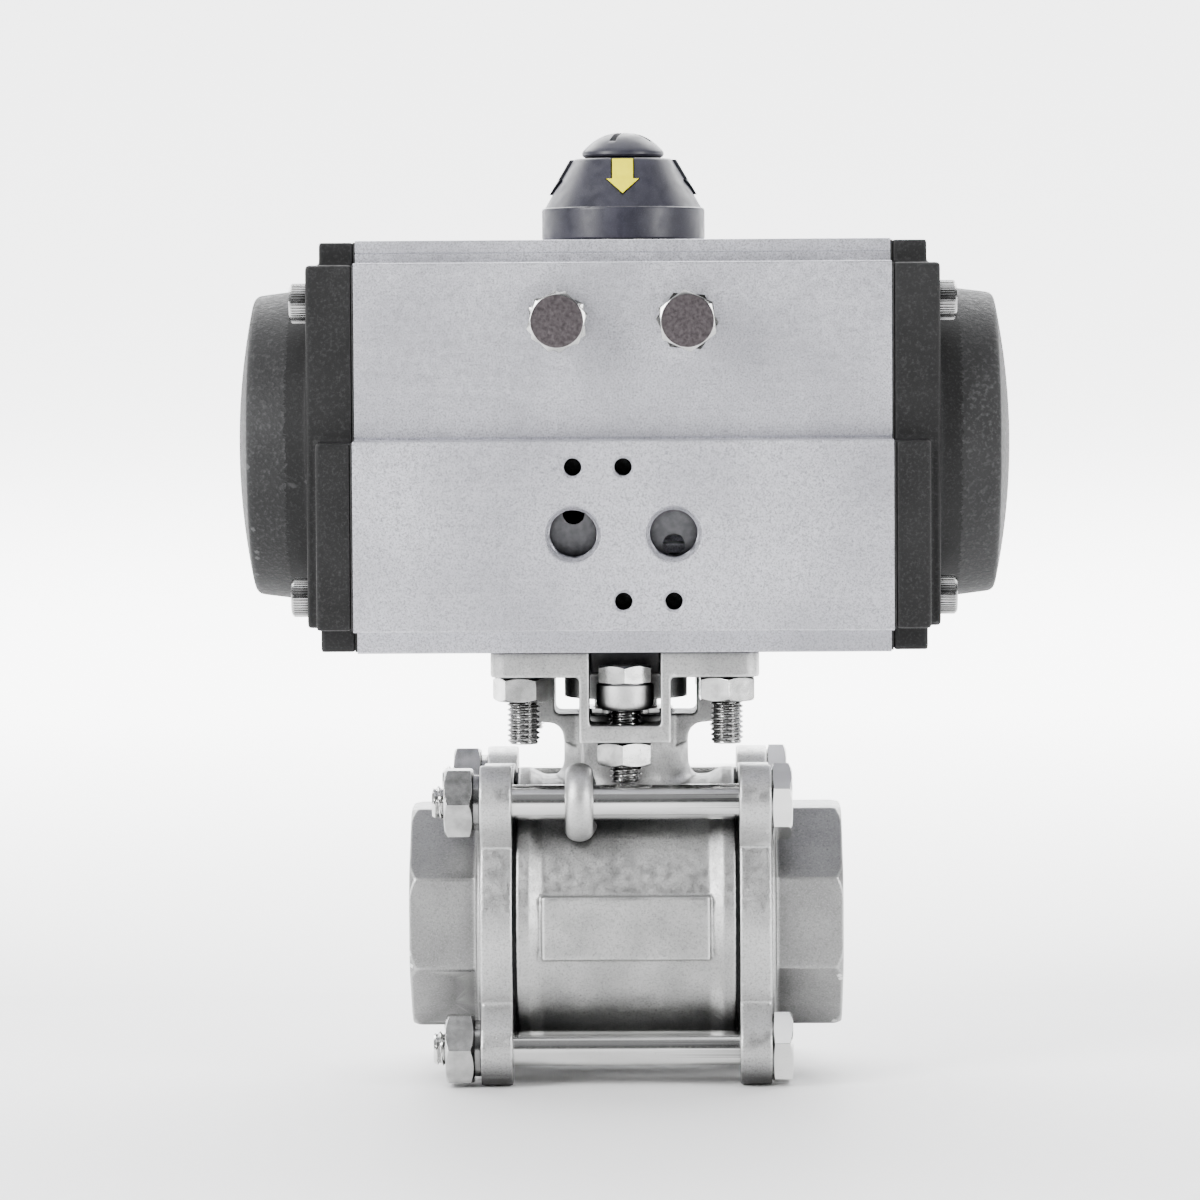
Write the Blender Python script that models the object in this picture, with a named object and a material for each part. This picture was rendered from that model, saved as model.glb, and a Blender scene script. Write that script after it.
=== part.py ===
"""Pneumatic quarter-turn actuator on a three-piece threaded ball valve, 1 1/2 inch (DN40).

A standalone Blender 4.5 script, in metres with +Z up. The pipe runs along X and the air ports face -Y.
The origin is the middle of the base, level with the undersides of the lower flange lugs.
The valve is closed and both pistons are in. Each separate piece is one object, named as its node.
"""

import math

import bmesh
import bpy

# ---------------------------------------------------------------- driving dimensions

CONTACT = 0.0001          # gap between two flat faces that touch
CLEARANCE = 0.0003        # radial gap round a pin, shank or shaft
OVERRUN = 0.001           # how far a cutting tool passes the face it cuts
ROUND = 32                # sides of a large cylinder
MIDDLE = 24               # sides of a shaft or a ring
FINE = 10                 # sides of a bolt
SMALL = 8                 # sides of a small hole

# Heights above the base
PIPE_Z = 0.0390           # pipe axis
ACTUATOR_BOTTOM = 0.1057
ACTUATOR_HEIGHT = 0.0995

# Depths from the stem axis
PORT_FACE = 0.0530        # front face of the port pad
UPPER_FACE = 0.0430       # front face above the pad
REAR_FACE = 0.0420
TOP_STRIP = 0.0345        # half depth of the top strip
BOTTOM_STRIP = 0.0370     # half depth of the bottom strip
STOP_REACH = 0.0550       # front of the stop bolts' heads
STEM_Y = (STOP_REACH - REAR_FACE) / 2

# Actuator
BODY_HALF_LENGTH = 0.0644
BORE_RADIUS = 0.0375
TOP_STRIP_HEIGHT = 0.0055
PAD_TOP_DROP = 0.0480     # ledge above the port pad, below the body's top
BOTTOM_STRIP_HEIGHT = 0.0060
SEAL_THICKNESS = 0.0005
CAP_PLATE = 0.0088        # cap: perimeter plate, inner flange and dome, out from the body's end
CAP_FLANGE = 0.0116
CAP_REACH = 0.0305
CAP_INSET = 0.0004
CAP_SCREW_Y = 0.0320
CAP_SCREW_LOW = -0.0362   # screw heights from the bore's axis
CAP_SCREW_HIGH = 0.0348
CAP_SCREW_HEAD = 0.0048
CAP_SCREW_STANDOUT = 0.0044
STOP_X = 0.0155
STOP_DROP = 0.0197        # below the body's top
CAM_RADIUS = 0.0172
CAM_FLANK = 0.0060        # from the stem axis to the cam's two stop faces
PORT_X = 0.0120
PORT_DROP = 0.0703
PORT_RADIUS = 0.005725
MOUTH_RADIUS = 0.0070
PORT_DEPTH = 0.0120
AIR_HOLE_RADIUS = 0.00265
AIR_HOLE_RISE = 0.0046    # the inner chamber's hole, above the port's axis
AIR_HOLE_DROP = 0.0030    # the outer chambers' hole, below it
PAD_HOLE_Z = 0.0160
PAD_HOLE_DEPTH = 0.0100
ACCESSORY_X = 0.0400      # holes in the top face
ACCESSORY_Y = 0.0150
ACCESSORY_DEPTH = 0.0080
STUD_HOLE_DEPTH = 0.0135
CAP_SCREW_HOLE_END = 0.0460
CAP_SCREW_TIP = 0.0500
CAP_SCREW_HEAD_HEIGHT = 0.0060
CAP_SOCKET_FLATS = 0.0050
SHAFT_HOLE_TOP = 0.0143   # radii of the body's holes for the two shaft bushes
SHAFT_HOLE_BOTTOM = 0.0158
M5_DRILL = 0.0021
M6_RADIUS = 0.0030
M8_RADIUS = 0.0040

# Rack and pinion
TEETH = 16
MODULE = 0.0015
PITCH_RADIUS = TEETH * MODULE / 2
TOOTH_WIDTH = 0.00205     # at the pitch line, half the pitch less the backlash
ADDENDUM = 0.00130
DEDENDUM = 0.00180
PRESSURE_ANGLE = math.radians(20)
GEAR_HALF_HEIGHT = 0.0120
RACK_HALF_HEIGHT = 0.0105
RACK_TEETH = 11
SHAFT_RADIUS = PITCH_RADIUS - DEDENDUM + 0.0004
SHAFT_FOOT_RADIUS = 0.0125
CAM_LOW = 0.0265
CAM_HIGH = 0.0327
CAM_HUB = 0.0124

# Valve
BARREL_RADIUS = 0.0360
BARREL_HALF_LENGTH = 0.0267
CAVITY_RADIUS = 0.0300
BALL_RADIUS = 0.0285
PORT_BORE = 0.0190
FLANGE_START = 0.0276
FLANGE_END = 0.0353
FLANGE_RADIUS = 0.0370
LUG_RADIUS = 0.0090
TIE_OFFSET = 0.0300
TIE_RADIUS = 0.0043
OCTAGON_FLATS = 0.0535
FACE_TO_FACE = 0.1060
SOCKET_RADIUS = 0.0230
SOCKET_DEPTH = 0.0220
STEM_RADIUS = 0.0080
DRIVE_SQUARE = 0.0140

# Mounting pad
PAD_HALF = 0.03265
PAD_THICKNESS = 0.0062
STUD_OFFSET = 0.02475     # four studs on a 70 mm circle
NUT_FLATS = 0.0130
NUT_HEIGHT = 0.0060

HALF_HEIGHT = ACTUATOR_HEIGHT / 2
ACTUATOR_MIDDLE = (0, STEM_Y, ACTUATOR_BOTTOM + HALF_HEIGHT)
PIPE_MIDDLE = (0, STEM_Y, PIPE_Z)
SIDES = (("left", -1), ("right", 1))


# ---------------------------------------------------------------- materials

def make_material(name, colour, metallic, roughness):
    material = bpy.data.materials.new(name)
    material.use_nodes = True
    shader = material.node_tree.nodes["Principled BSDF"]
    shader.inputs["Base Color"].default_value = (*colour, 1)
    shader.inputs["Metallic"].default_value = metallic
    shader.inputs["Roughness"].default_value = roughness
    material.diffuse_color = (*colour, 1)
    return material


def make_materials():
    values = {
        "anodised_aluminium": ((0.60, 0.60, 0.64), 0.9, 0.45),
        "black_coating": ((0.055, 0.055, 0.055), 0.0, 0.6),
        "dark_plastic": ((0.065, 0.065, 0.085), 0.0, 0.4),
        "yellow_plastic": ((0.80, 0.75, 0.16), 0.0, 0.5),
        "cast_stainless": ((0.42, 0.42, 0.42), 0.9, 0.45),
        "bright_stainless": ((0.66, 0.66, 0.66), 1.0, 0.2),
        "steel": ((0.45, 0.45, 0.46), 1.0, 0.35),
        "black_rubber": ((0.015, 0.015, 0.015), 0.0, 0.7),
        "white_polymer": ((0.85, 0.85, 0.83), 0.0, 0.5),
    }
    return {name: make_material(name, *value) for name, value in values.items()}


# ---------------------------------------------------------------- shape helpers

def to_world(u, v, w, axis):
    """A point with u and v across the axis, in X, Y, Z order, and w along it."""
    if axis == "X":
        return (w, u, v)
    if axis == "Y":
        return (u, w, v)
    return (u, v, w)


def circle(radius, sides, centre=(0, 0), turn=0.0):
    """Corners of a regular polygon."""
    points = []
    for i in range(sides):
        angle = turn + math.tau * i / sides
        points.append((centre[0] + radius * math.cos(angle), centre[1] + radius * math.sin(angle)))
    return points


def across_flats(width, sides, centre=(0, 0), turn=0.0):
    """A regular polygon given by its width across flats, with a flat facing the turn angle."""
    step = math.pi / sides
    return circle(width / 2 / math.cos(step), sides, centre, turn + step)


def arc(centre, radius, start, end, steps):
    """Points on an arc, both ends included, angles in degrees."""
    points = []
    for i in range(steps + 1):
        angle = math.radians(start + (end - start) * i / steps)
        points.append((centre[0] + radius * math.cos(angle), centre[1] + radius * math.sin(angle)))
    return points


def rounded_box(low_u, high_u, low_v, high_v, radius, steps=4):
    points = arc((high_u - radius, high_v - radius), radius, 0, 90, steps)
    points += arc((low_u + radius, high_v - radius), radius, 90, 180, steps)
    points += arc((low_u + radius, low_v + radius), radius, 180, 270, steps)
    points += arc((high_u - radius, low_v + radius), radius, 270, 360, steps)
    return points


def object_from(bm):
    """A scene object from a bmesh, its faces turned outwards."""
    bmesh.ops.recalc_face_normals(bm, faces=bm.faces)
    mesh = bpy.data.meshes.new("solid")
    bm.to_mesh(mesh)
    bm.free()
    solid = bpy.data.objects.new("solid", mesh)
    bpy.context.collection.objects.link(solid)
    return solid


def prism(outline, low, high, axis="Z"):
    """An outline extruded along an axis from low to high."""
    bm = bmesh.new()
    ends = []
    for w in (low, high):
        ends.append([bm.verts.new(to_world(u, v, w, axis)) for u, v in outline])
    bm.faces.new(ends[0])
    bm.faces.new(ends[1])
    count = len(outline)
    for i in range(count):
        j = (i + 1) % count
        bm.faces.new((ends[0][i], ends[0][j], ends[1][j], ends[1][i]))
    return object_from(bm)


def block(low, high):
    outline = [(low[0], low[1]), (high[0], low[1]), (high[0], high[1]), (low[0], high[1])]
    return prism(outline, low[2], high[2])


def turned(profile, axis="Z", sides=ROUND, centre=(0, 0)):
    """A closed (radius, height) outline turned about an axis, with points at radius 0 on it."""
    bm = bmesh.new()
    rings = []
    for radius, height in profile:
        if radius == 0:
            rings.append([bm.verts.new(to_world(centre[0], centre[1], height, axis))])
        else:
            corners = circle(radius, sides, centre)
            rings.append([bm.verts.new(to_world(u, v, height, axis)) for u, v in corners])
    count = len(rings)
    for i in range(count):
        first = rings[i]
        second = rings[(i + 1) % count]
        if len(first) == 1 and len(second) == 1:
            continue
        for k in range(sides):
            n = (k + 1) % sides
            if len(first) == 1:
                bm.faces.new((first[0], second[k], second[n]))
            elif len(second) == 1:
                bm.faces.new((first[k], first[n], second[0]))
            else:
                bm.faces.new((first[k], first[n], second[n], second[k]))
    return object_from(bm)


def rod(radius, low, high, axis="Z", centre=(0, 0), sides=FINE):
    return prism(circle(radius, sides, centre, math.pi / sides), low, high, axis)


def ring(inner, outer, low, high, axis="Z", sides=MIDDLE):
    return turned([(inner, low), (outer, low), (outer, high), (inner, high)], axis, sides)


def combine(solid, tool, operation):
    """Applies one Boolean to the solid and removes the tool."""
    modifier = solid.modifiers.new("boolean", "BOOLEAN")
    modifier.operation = operation
    modifier.object = tool
    graph = bpy.context.evaluated_depsgraph_get()
    mesh = bpy.data.meshes.new_from_object(solid.evaluated_get(graph))
    solid.modifiers.clear()
    solid.data = mesh
    bpy.data.objects.remove(tool)


def cut(solid, *tools):
    for tool in tools:
        combine(solid, tool, "DIFFERENCE")
    return solid


def union(solid, *tools):
    for tool in tools:
        combine(solid, tool, "UNION")
    return solid


def overlap(solid, tool):
    combine(solid, tool, "INTERSECT")
    return solid


def finish(solid, name, material, origin):
    """Names a finished piece, gives it its material and puts its origin in place."""
    solid.name = name
    solid.data.name = name
    solid.data.materials.clear()
    solid.data.materials.append(material)
    solid.location = origin
    solid.data.shade_smooth()
    solid.data.set_sharp_from_angle(angle=math.radians(35))
    return solid


# ---------------------------------------------------------------- actuator, from its middle

def body_outline(inset=0.0):
    """The extrusion's section, Y and Z from the bore's centre, all faces moved in by inset."""
    top = HALF_HEIGHT - inset
    ledge = HALF_HEIGHT - TOP_STRIP_HEIGHT - inset
    pad_top = HALF_HEIGHT - PAD_TOP_DROP - inset
    foot = BOTTOM_STRIP_HEIGHT - HALF_HEIGHT + inset
    front_strip = TOP_STRIP - inset
    front = UPPER_FACE - inset
    pad = PORT_FACE - inset
    base = BOTTOM_STRIP - inset
    rear = REAR_FACE - inset
    return [
        (-front_strip, top), (-front_strip, ledge), (-front, ledge), (-front, pad_top),
        (-pad, pad_top), (-pad, foot), (-base, foot), (-base, -top),
        (base, -top), (base, foot), (rear, foot), (rear, ledge),
        (front_strip, ledge), (front_strip, top),
    ]


def cap_screw_places():
    return [(y, z) for y in (-CAP_SCREW_Y, CAP_SCREW_Y) for z in (CAP_SCREW_LOW, CAP_SCREW_HIGH)]


def square_places(offset):
    return [(x, y) for x in (-offset, offset) for y in (-offset, offset)]


def cut_ports(body):
    """Two G1/4 ports, their air holes, the lengthwise channel and the four M5 holes round them."""
    port_z = HALF_HEIGHT - PORT_DROP
    port_floor = -PORT_FACE + PORT_DEPTH
    channel_y = -BORE_RADIUS
    inner_z = port_z + AIR_HOLE_RISE
    outer_z = port_z - AIR_HOLE_DROP
    front = -PORT_FACE - OVERRUN
    for x in (-PORT_X, PORT_X):
        cut(body, turned([(0, front), (MOUTH_RADIUS + OVERRUN, front), (PORT_RADIUS, front + 0.0023),
                          (PORT_RADIUS, port_floor), (0, port_floor)], "Y", 16, (x, port_z)))
    cut(body, rod(AIR_HOLE_RADIUS, port_floor - OVERRUN, -0.030, "Y", (-PORT_X, inner_z), SMALL))
    cut(body, rod(AIR_HOLE_RADIUS, port_floor - OVERRUN, channel_y, "Y", (PORT_X, outer_z), SMALL))
    reach = BODY_HALF_LENGTH + OVERRUN
    cut(body, rod(M5_DRILL, -reach, reach, "X", (channel_y, outer_z), SMALL))
    for x, z in ((-PORT_X, PAD_HOLE_Z), (0, PAD_HOLE_Z), (0, -PAD_HOLE_Z), (PORT_X, -PAD_HOLE_Z)):
        cut(body, rod(M5_DRILL, front, -PORT_FACE + PAD_HOLE_DEPTH, "Y", (x, port_z + z), SMALL))


def make_actuator_body():
    body = prism(body_outline(), -BODY_HALF_LENGTH, BODY_HALF_LENGTH, "X")
    reach = BODY_HALF_LENGTH + OVERRUN
    top = HALF_HEIGHT + OVERRUN
    cut(body, rod(BORE_RADIUS, -reach, reach, "X", sides=ROUND))
    cut(body, rod(SHAFT_HOLE_TOP, 0, top, "Z", sides=MIDDLE))
    cut(body, rod(SHAFT_HOLE_BOTTOM, -top, 0, "Z", sides=MIDDLE))
    stop_z = HALF_HEIGHT - STOP_DROP
    for x in (-STOP_X, STOP_X):
        cut(body, rod(M8_RADIUS + CLEARANCE, -UPPER_FACE - OVERRUN, -0.015, "Y", (x, stop_z)))
    cut_ports(body)
    for side in (-1, 1):
        for place in cap_screw_places():
            low, high = sorted((side * reach, side * CAP_SCREW_HOLE_END))
            cut(body, rod(M6_RADIUS + CLEARANCE, low, high, "X", place, SMALL))
    for x in (-ACCESSORY_X, ACCESSORY_X):
        for y in (-ACCESSORY_Y, ACCESSORY_Y):
            cut(body, rod(M5_DRILL, HALF_HEIGHT - ACCESSORY_DEPTH, top, "Z", (x, y), SMALL))
    for place in square_places(STUD_OFFSET):
        cut(body, rod(M8_RADIUS + CLEARANCE, -top, STUD_HOLE_DEPTH - HALF_HEIGHT, "Z", place))
    return body


def make_end_cap(side):
    """Perimeter plate, inner flange and dome, hollow behind, with four counterbored screw holes."""
    inner = BODY_HALF_LENGTH + SEAL_THICKNESS + CONTACT
    plate_end = BODY_HALF_LENGTH + CAP_PLATE
    flange_end = BODY_HALF_LENGTH + CAP_FLANGE
    tip = BODY_HALF_LENGTH + CAP_REACH
    low, high = sorted((side * inner, side * plate_end))
    cap = prism(body_outline(CAP_INSET), low, high, "X")
    ledge = HALF_HEIGHT - TOP_STRIP_HEIGHT - 0.0004
    foot = BOTTOM_STRIP_HEIGHT - HALF_HEIGHT + 0.0005
    low, high = sorted((side * (inner + 0.002), side * flange_end))
    flange = rounded_box(-UPPER_FACE + CAP_INSET, REAR_FACE - CAP_INSET, foot, ledge, 0.002)
    union(cap, prism(flange, low, high, "X"))
    dome = [(0, plate_end), (0.0388, plate_end), (0.0388, flange_end), (0.0371, tip - 0.0052),
            (0.0362, tip - 0.0040), (0.0300, tip - 0.0027), (0.0180, tip - 0.0010), (0, tip)]
    union(cap, turned([(r, side * x) for r, x in dome], "X"))
    hollow = [(0, inner - OVERRUN), (0.0330, inner - OVERRUN), (0.0330, tip - 0.0110),
              (0.0300, tip - 0.0080), (0, tip - 0.0060)]
    cut(cap, turned([(r, side * x) for r, x in hollow], "X", MIDDLE))
    low, high = sorted((side * (inner - OVERRUN), side * (inner + 0.003)))
    cut(cap, block((low, -0.0400, -0.0260), (high, -0.0200, -0.0210)))
    seat = flange_end + CAP_SCREW_STANDOUT - CAP_SCREW_HEAD_HEIGHT
    for place in cap_screw_places():
        hole = [(0, inner - OVERRUN), (M6_RADIUS + CLEARANCE, inner - OVERRUN), (M6_RADIUS + CLEARANCE, seat),
                (CAP_SCREW_HEAD + CLEARANCE, seat), (CAP_SCREW_HEAD + CLEARANCE, tip), (0, tip)]
        cut(cap, turned([(r, side * x) for r, x in hole], "X", SMALL + 4, place))
    return cap


def make_cap_seal(side):
    low, high = sorted((side * (BODY_HALF_LENGTH + CONTACT / 2), side * (BODY_HALF_LENGTH + SEAL_THICKNESS)))
    seal = prism(body_outline(CAP_INSET), low, high, "X")
    reach_low, reach_high = low - OVERRUN, high + OVERRUN
    cut(seal, rod(BORE_RADIUS + 0.0005, reach_low, reach_high, "X", sides=MIDDLE))
    cut(seal, block((reach_low, -0.0400, -0.0260), (reach_high, -0.0200, -0.0210)))
    for place in cap_screw_places():
        cut(seal, rod(M6_RADIUS + CLEARANCE, reach_low, reach_high, "X", place, SMALL))
    return seal


def make_cap_screw(side):
    """Socket head screw lying along X, its head's outer face at the standout."""
    face = BODY_HALF_LENGTH + CAP_FLANGE + CAP_SCREW_STANDOUT
    seat = face - CAP_SCREW_HEAD_HEIGHT + CONTACT
    profile = [(0, CAP_SCREW_TIP), (M6_RADIUS, CAP_SCREW_TIP), (M6_RADIUS, seat), (CAP_SCREW_HEAD, seat),
               (CAP_SCREW_HEAD, face - 0.0004), (CAP_SCREW_HEAD - 0.0004, face), (0, face)]
    screw = turned([(r, side * x) for r, x in profile], "X", FINE)
    low, high = sorted((side * (face - 0.003), side * (face + OVERRUN)))
    return cut(screw, prism(across_flats(CAP_SOCKET_FLATS, 6), low, high, "X"))


# ---------------------------------------------------------------- rack and pinion

def half_width(radius):
    """Half the angle of an involute tooth at a radius."""
    base = PITCH_RADIUS * math.cos(PRESSURE_ANGLE)
    involute_at_pitch = math.tan(PRESSURE_ANGLE) - PRESSURE_ANGLE
    angle = math.acos(min(1, base / radius))
    return TOOTH_WIDTH / 2 / PITCH_RADIUS + involute_at_pitch - (math.tan(angle) - angle)


def pinion_outline():
    root = PITCH_RADIUS - DEDENDUM
    radii = [root, PITCH_RADIUS, PITCH_RADIUS + ADDENDUM]
    points = []
    for tooth in range(TEETH):
        middle = math.tau * tooth / TEETH
        for radius in radii:
            angle = middle - half_width(radius)
            points.append((radius * math.cos(angle), radius * math.sin(angle)))
        for radius in reversed(radii):
            angle = middle + half_width(radius)
            points.append((radius * math.cos(angle), radius * math.sin(angle)))
    return points


def make_pinion():
    """Shaft with gear teeth, a square socket below for the stem and a tapped hole on top."""
    foot = CONTACT * 3 - HALF_HEIGHT
    groove = HALF_HEIGHT + 0.0010
    neck = SHAFT_RADIUS - 0.0010
    head = HALF_HEIGHT + 0.0165
    tip = 0.0065
    shaft = turned([(0, foot), (SHAFT_FOOT_RADIUS, foot), (SHAFT_FOOT_RADIUS, foot + 0.0130),
                    (SHAFT_RADIUS, foot + 0.0130), (SHAFT_RADIUS, groove), (neck, groove),
                    (neck, groove + 0.0015), (SHAFT_RADIUS, groove + 0.0015),
                    (SHAFT_RADIUS, groove + 0.0035), (tip, groove + 0.0035), (tip, head), (0, head)],
                   sides=MIDDLE)
    union(shaft, prism(pinion_outline(), -GEAR_HALF_HEIGHT, GEAR_HALF_HEIGHT))
    cut(shaft, prism(across_flats(DRIVE_SQUARE + 2 * CLEARANCE, 4), foot - OVERRUN, foot + 0.0175))
    cut(shaft, rod(0.0033, head - 0.012, head + OVERRUN, "Z", sides=SMALL))
    return shaft


def make_stop_cam():
    """Disc sector whose two flat flanks meet the stop bolts at the two ends of the turn."""
    far = 2 * CAM_RADIUS
    cam = rod(CAM_RADIUS, CAM_LOW, CAM_HIGH, "Z", sides=MIDDLE)
    overlap(cam, block((-CAM_FLANK, -CAM_FLANK, CAM_LOW - OVERRUN), (far, far, CAM_HIGH + OVERRUN)))
    union(cam, rod(CAM_HUB, CAM_LOW, CAM_HIGH, "Z", sides=MIDDLE))
    hole = SHAFT_RADIUS + CLEARANCE
    return cut(cam, rod(hole, CAM_LOW - OVERRUN, CAM_HIGH + OVERRUN, "Z", sides=MIDDLE))


def rack_outline(side):
    """Rack bar in X and Y: teeth towards the pinion, a gap of the rack centred on x = 0."""
    pitch = math.pi * MODULE
    tip_y = PITCH_RADIUS - ADDENDUM
    root_y = PITCH_RADIUS + DEDENDUM
    slope = math.tan(PRESSURE_ANGLE)
    tip_half = TOOTH_WIDTH / 2 - ADDENDUM * slope
    root_half = TOOTH_WIDTH / 2 + DEDENDUM * slope
    start = -0.0290
    end = 0.0320
    points = [(start, root_y)]
    first = -RACK_TEETH // 2
    for i in range(RACK_TEETH):
        middle = (first + i + 0.5) * pitch
        points += [(middle - root_half, root_y), (middle - tip_half, tip_y),
                   (middle + tip_half, tip_y), (middle + root_half, root_y)]
    back_y = 0.0310
    points += [(end, root_y), (end, back_y), (start, back_y)]
    # the right piston's rack passes in front of the pinion, the left one's behind it
    return [(side * x, -side * y) for x, y in points]


def make_piston(side):
    head_low = 0.0300
    head_high = 0.0420
    radius = BORE_RADIUS - 0.0004
    groove = radius - 0.0030
    profile = [(0, head_low), (radius, head_low), (radius, head_low + 0.0040), (groove, head_low + 0.0040),
               (groove, head_low + 0.0075), (radius, head_low + 0.0075), (radius, head_high), (0, head_high)]
    piston = turned([(r, side * x) for r, x in profile], "X")
    union(piston, prism(rack_outline(side), -RACK_HALF_HEIGHT, RACK_HALF_HEIGHT))
    recess = [(0, head_high - 0.0060), (0.0240, head_high - 0.0060), (0.0260, head_high + OVERRUN),
              (0, head_high + OVERRUN)]
    return cut(piston, turned([(r, side * x) for r, x in recess], "X", 16))


def make_piston_seal(side):
    low, high = sorted((side * 0.0342, side * 0.0373))
    return ring(BORE_RADIUS - 0.0031, BORE_RADIUS - 0.0002, low, high, "X", ROUND)


def make_bush(inner, outer, low, high):
    return ring(inner, outer, low, high)


def make_circlip():
    """Open retaining ring in the pinion's groove."""
    low = HALF_HEIGHT + 0.0010 + CONTACT
    clip = ring(SHAFT_RADIUS - 0.0007, 0.0135, low, low + 0.0012)
    return cut(clip, block((0, -0.0025, low - OVERRUN), (0.02, 0.0025, low + 0.003)))


def make_stop_bolt():
    """Hex bolt along Y from its head to a tip at the cam's flank."""
    head_front = -STOP_REACH
    head_back = head_front + 0.0052
    z = HALF_HEIGHT - STOP_DROP
    bolt = prism(across_flats(NUT_FLATS, 6), head_front, head_back, "Y")
    union(bolt, rod(M8_RADIUS, head_back - OVERRUN, -CAM_FLANK - CLEARANCE, "Y"))
    return bolt, z


def make_nut(low, high, axis, shank, flats=NUT_FLATS, turn=0.0):
    nut = prism(across_flats(flats, 6, turn=turn), low, high, axis)
    return cut(nut, rod(shank + CLEARANCE, low - OVERRUN, high + OVERRUN, axis))


# ---------------------------------------------------------------- indicator

INDICATOR_RADIUS = 0.0201
INDICATOR_TOP_RADIUS = 0.0124
INDICATOR_SHOULDER = 0.0076   # heights above the body's top
INDICATOR_HEIGHT = 0.0204
ARROW_WIDTH = 0.0054
SCREW_HEAD = 0.0210


def cone_profile(grow=0.0):
    """Outside of the indicator cap above the body's top."""
    base = HALF_HEIGHT + 0.0004
    shoulder = HALF_HEIGHT + INDICATOR_SHOULDER
    top = HALF_HEIGHT + INDICATOR_HEIGHT
    foot = INDICATOR_RADIUS + grow
    return [(0, base), (foot, base), (foot, shoulder), (foot - 0.0009, shoulder + 0.0008),
            (INDICATOR_TOP_RADIUS + grow, top), (0, top)]


def arrow_block(width, inner, angle):
    """A radial bar through the cone's side at an angle."""
    low = HALF_HEIGHT + 0.0115
    high = HALF_HEIGHT + 0.0210
    along = (math.cos(angle), math.sin(angle))
    across = (-along[1], along[0])
    outline = []
    for reach, half in ((inner, -width / 2), (0.025, -width / 2), (0.025, width / 2), (inner, width / 2)):
        outline.append((reach * along[0] + half * across[0], reach * along[1] + half * across[1]))
    return prism(outline, low, high)


def make_indicator_cap():
    """Hollow cone over the pinion's head, with four slots for the arrow inserts."""
    cap = turned(cone_profile())
    low = HALF_HEIGHT - OVERRUN
    high = HALF_HEIGHT + 0.0168
    cut(cap, turned([(0, low), (0.0172, low), (0.0172, HALF_HEIGHT + 0.0065), (0.0070, HALF_HEIGHT + 0.0068),
                     (0.0070, high), (0, high)], sides=MIDDLE))
    cut(cap, rod(M6_RADIUS + CLEARANCE, HALF_HEIGHT + 0.010, HALF_HEIGHT + 0.030, "Z", sides=SMALL))
    for angle in (-math.pi / 2, math.pi / 2):
        cut(cap, arrow_block(ARROW_WIDTH + 2 * CLEARANCE, 0.0100, angle))
    return cap


def make_indicator_arrow(angle):
    insert = turned(cone_profile(0.0003))
    return overlap(insert, arrow_block(ARROW_WIDTH, 0.0103, angle))


def make_indicator_screw():
    """Screw with a broad oval head and a cross slot, one arm of it turned a little left of the front."""
    base = HALF_HEIGHT + SCREW_HEAD
    shank_low = HALF_HEIGHT + 0.0060
    screw = turned([(0, shank_low), (M6_RADIUS, shank_low), (M6_RADIUS, base), (0.0096, base),
                    (0.0101, base + 0.0010), (0.0090, base + 0.0024), (0.0068, base + 0.0042),
                    (0.0041, base + 0.0055), (0, base + 0.0061)], sides=MIDDLE)
    slot_reach = 0.0072
    slot_half = 0.0008
    for angle in (math.radians(-20), math.radians(70)):
        along = (math.cos(angle), math.sin(angle))
        across = (-along[1], along[0])
        outline = []
        for reach, half in ((-slot_reach, -slot_half), (slot_reach, -slot_half),
                            (slot_reach, slot_half), (-slot_reach, slot_half)):
            outline.append((reach * along[0] + half * across[0], reach * along[1] + half * across[1]))
        cut(screw, prism(outline, base + 0.0034, base + 0.0070))
    return screw


# ---------------------------------------------------------------- valve, from the pipe axis

PAD_TOP = ACTUATOR_BOTTOM - PIPE_Z - CONTACT
PAD_UNDERSIDE = PAD_TOP - PAD_THICKNESS
NECK_TOP = 0.0500
BRIDGE_FLOOR = 0.0445
BRIDGE_HALF_WIDTH = 0.0111
BRIDGE_LEG = 0.0024
BRIDGE_DEPTH = 0.0156
LEVER_BOLT_Y = -0.0250
NECK_RADIUS = 0.0155
GLAND_RADIUS = 0.0120
TIE_HEAD_FLATS = 0.0166
TIE_NUT_FLATS = 0.0164
LEVER_HEAD_FLATS = 0.0127
LEVER_HEAD_LOW = BRIDGE_FLOOR + 0.0141


def pad_outline():
    return rounded_box(-PAD_HALF, PAD_HALF, -PAD_HALF, PAD_HALF, 0.004)


def saddle_outline():
    """The two arms that carry the pad and the floor between them, seen from the front in X and Z."""
    left = [(-0.0150, 0.0380), (-0.0154, 0.0435), (-0.0168, 0.0465), (-0.0235, 0.0482)]
    left += [(-0.0240, PAD_UNDERSIDE + OVERRUN), (-0.0175, PAD_UNDERSIDE + OVERRUN), (-0.0175, NECK_TOP)]
    right = [(-x, z) for x, z in reversed(left)]
    return left + right


def bridge_outline():
    """U hanging from the pad's underside, in X and Z."""
    inner = BRIDGE_HALF_WIDTH - BRIDGE_LEG
    top = PAD_UNDERSIDE + OVERRUN
    floor = BRIDGE_FLOOR + 0.0042
    return [(-BRIDGE_HALF_WIDTH, top), (-BRIDGE_HALF_WIDTH, BRIDGE_FLOOR), (BRIDGE_HALF_WIDTH, BRIDGE_FLOOR),
            (BRIDGE_HALF_WIDTH, top), (inner, top), (inner, floor), (-inner, floor), (-inner, top)]


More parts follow.
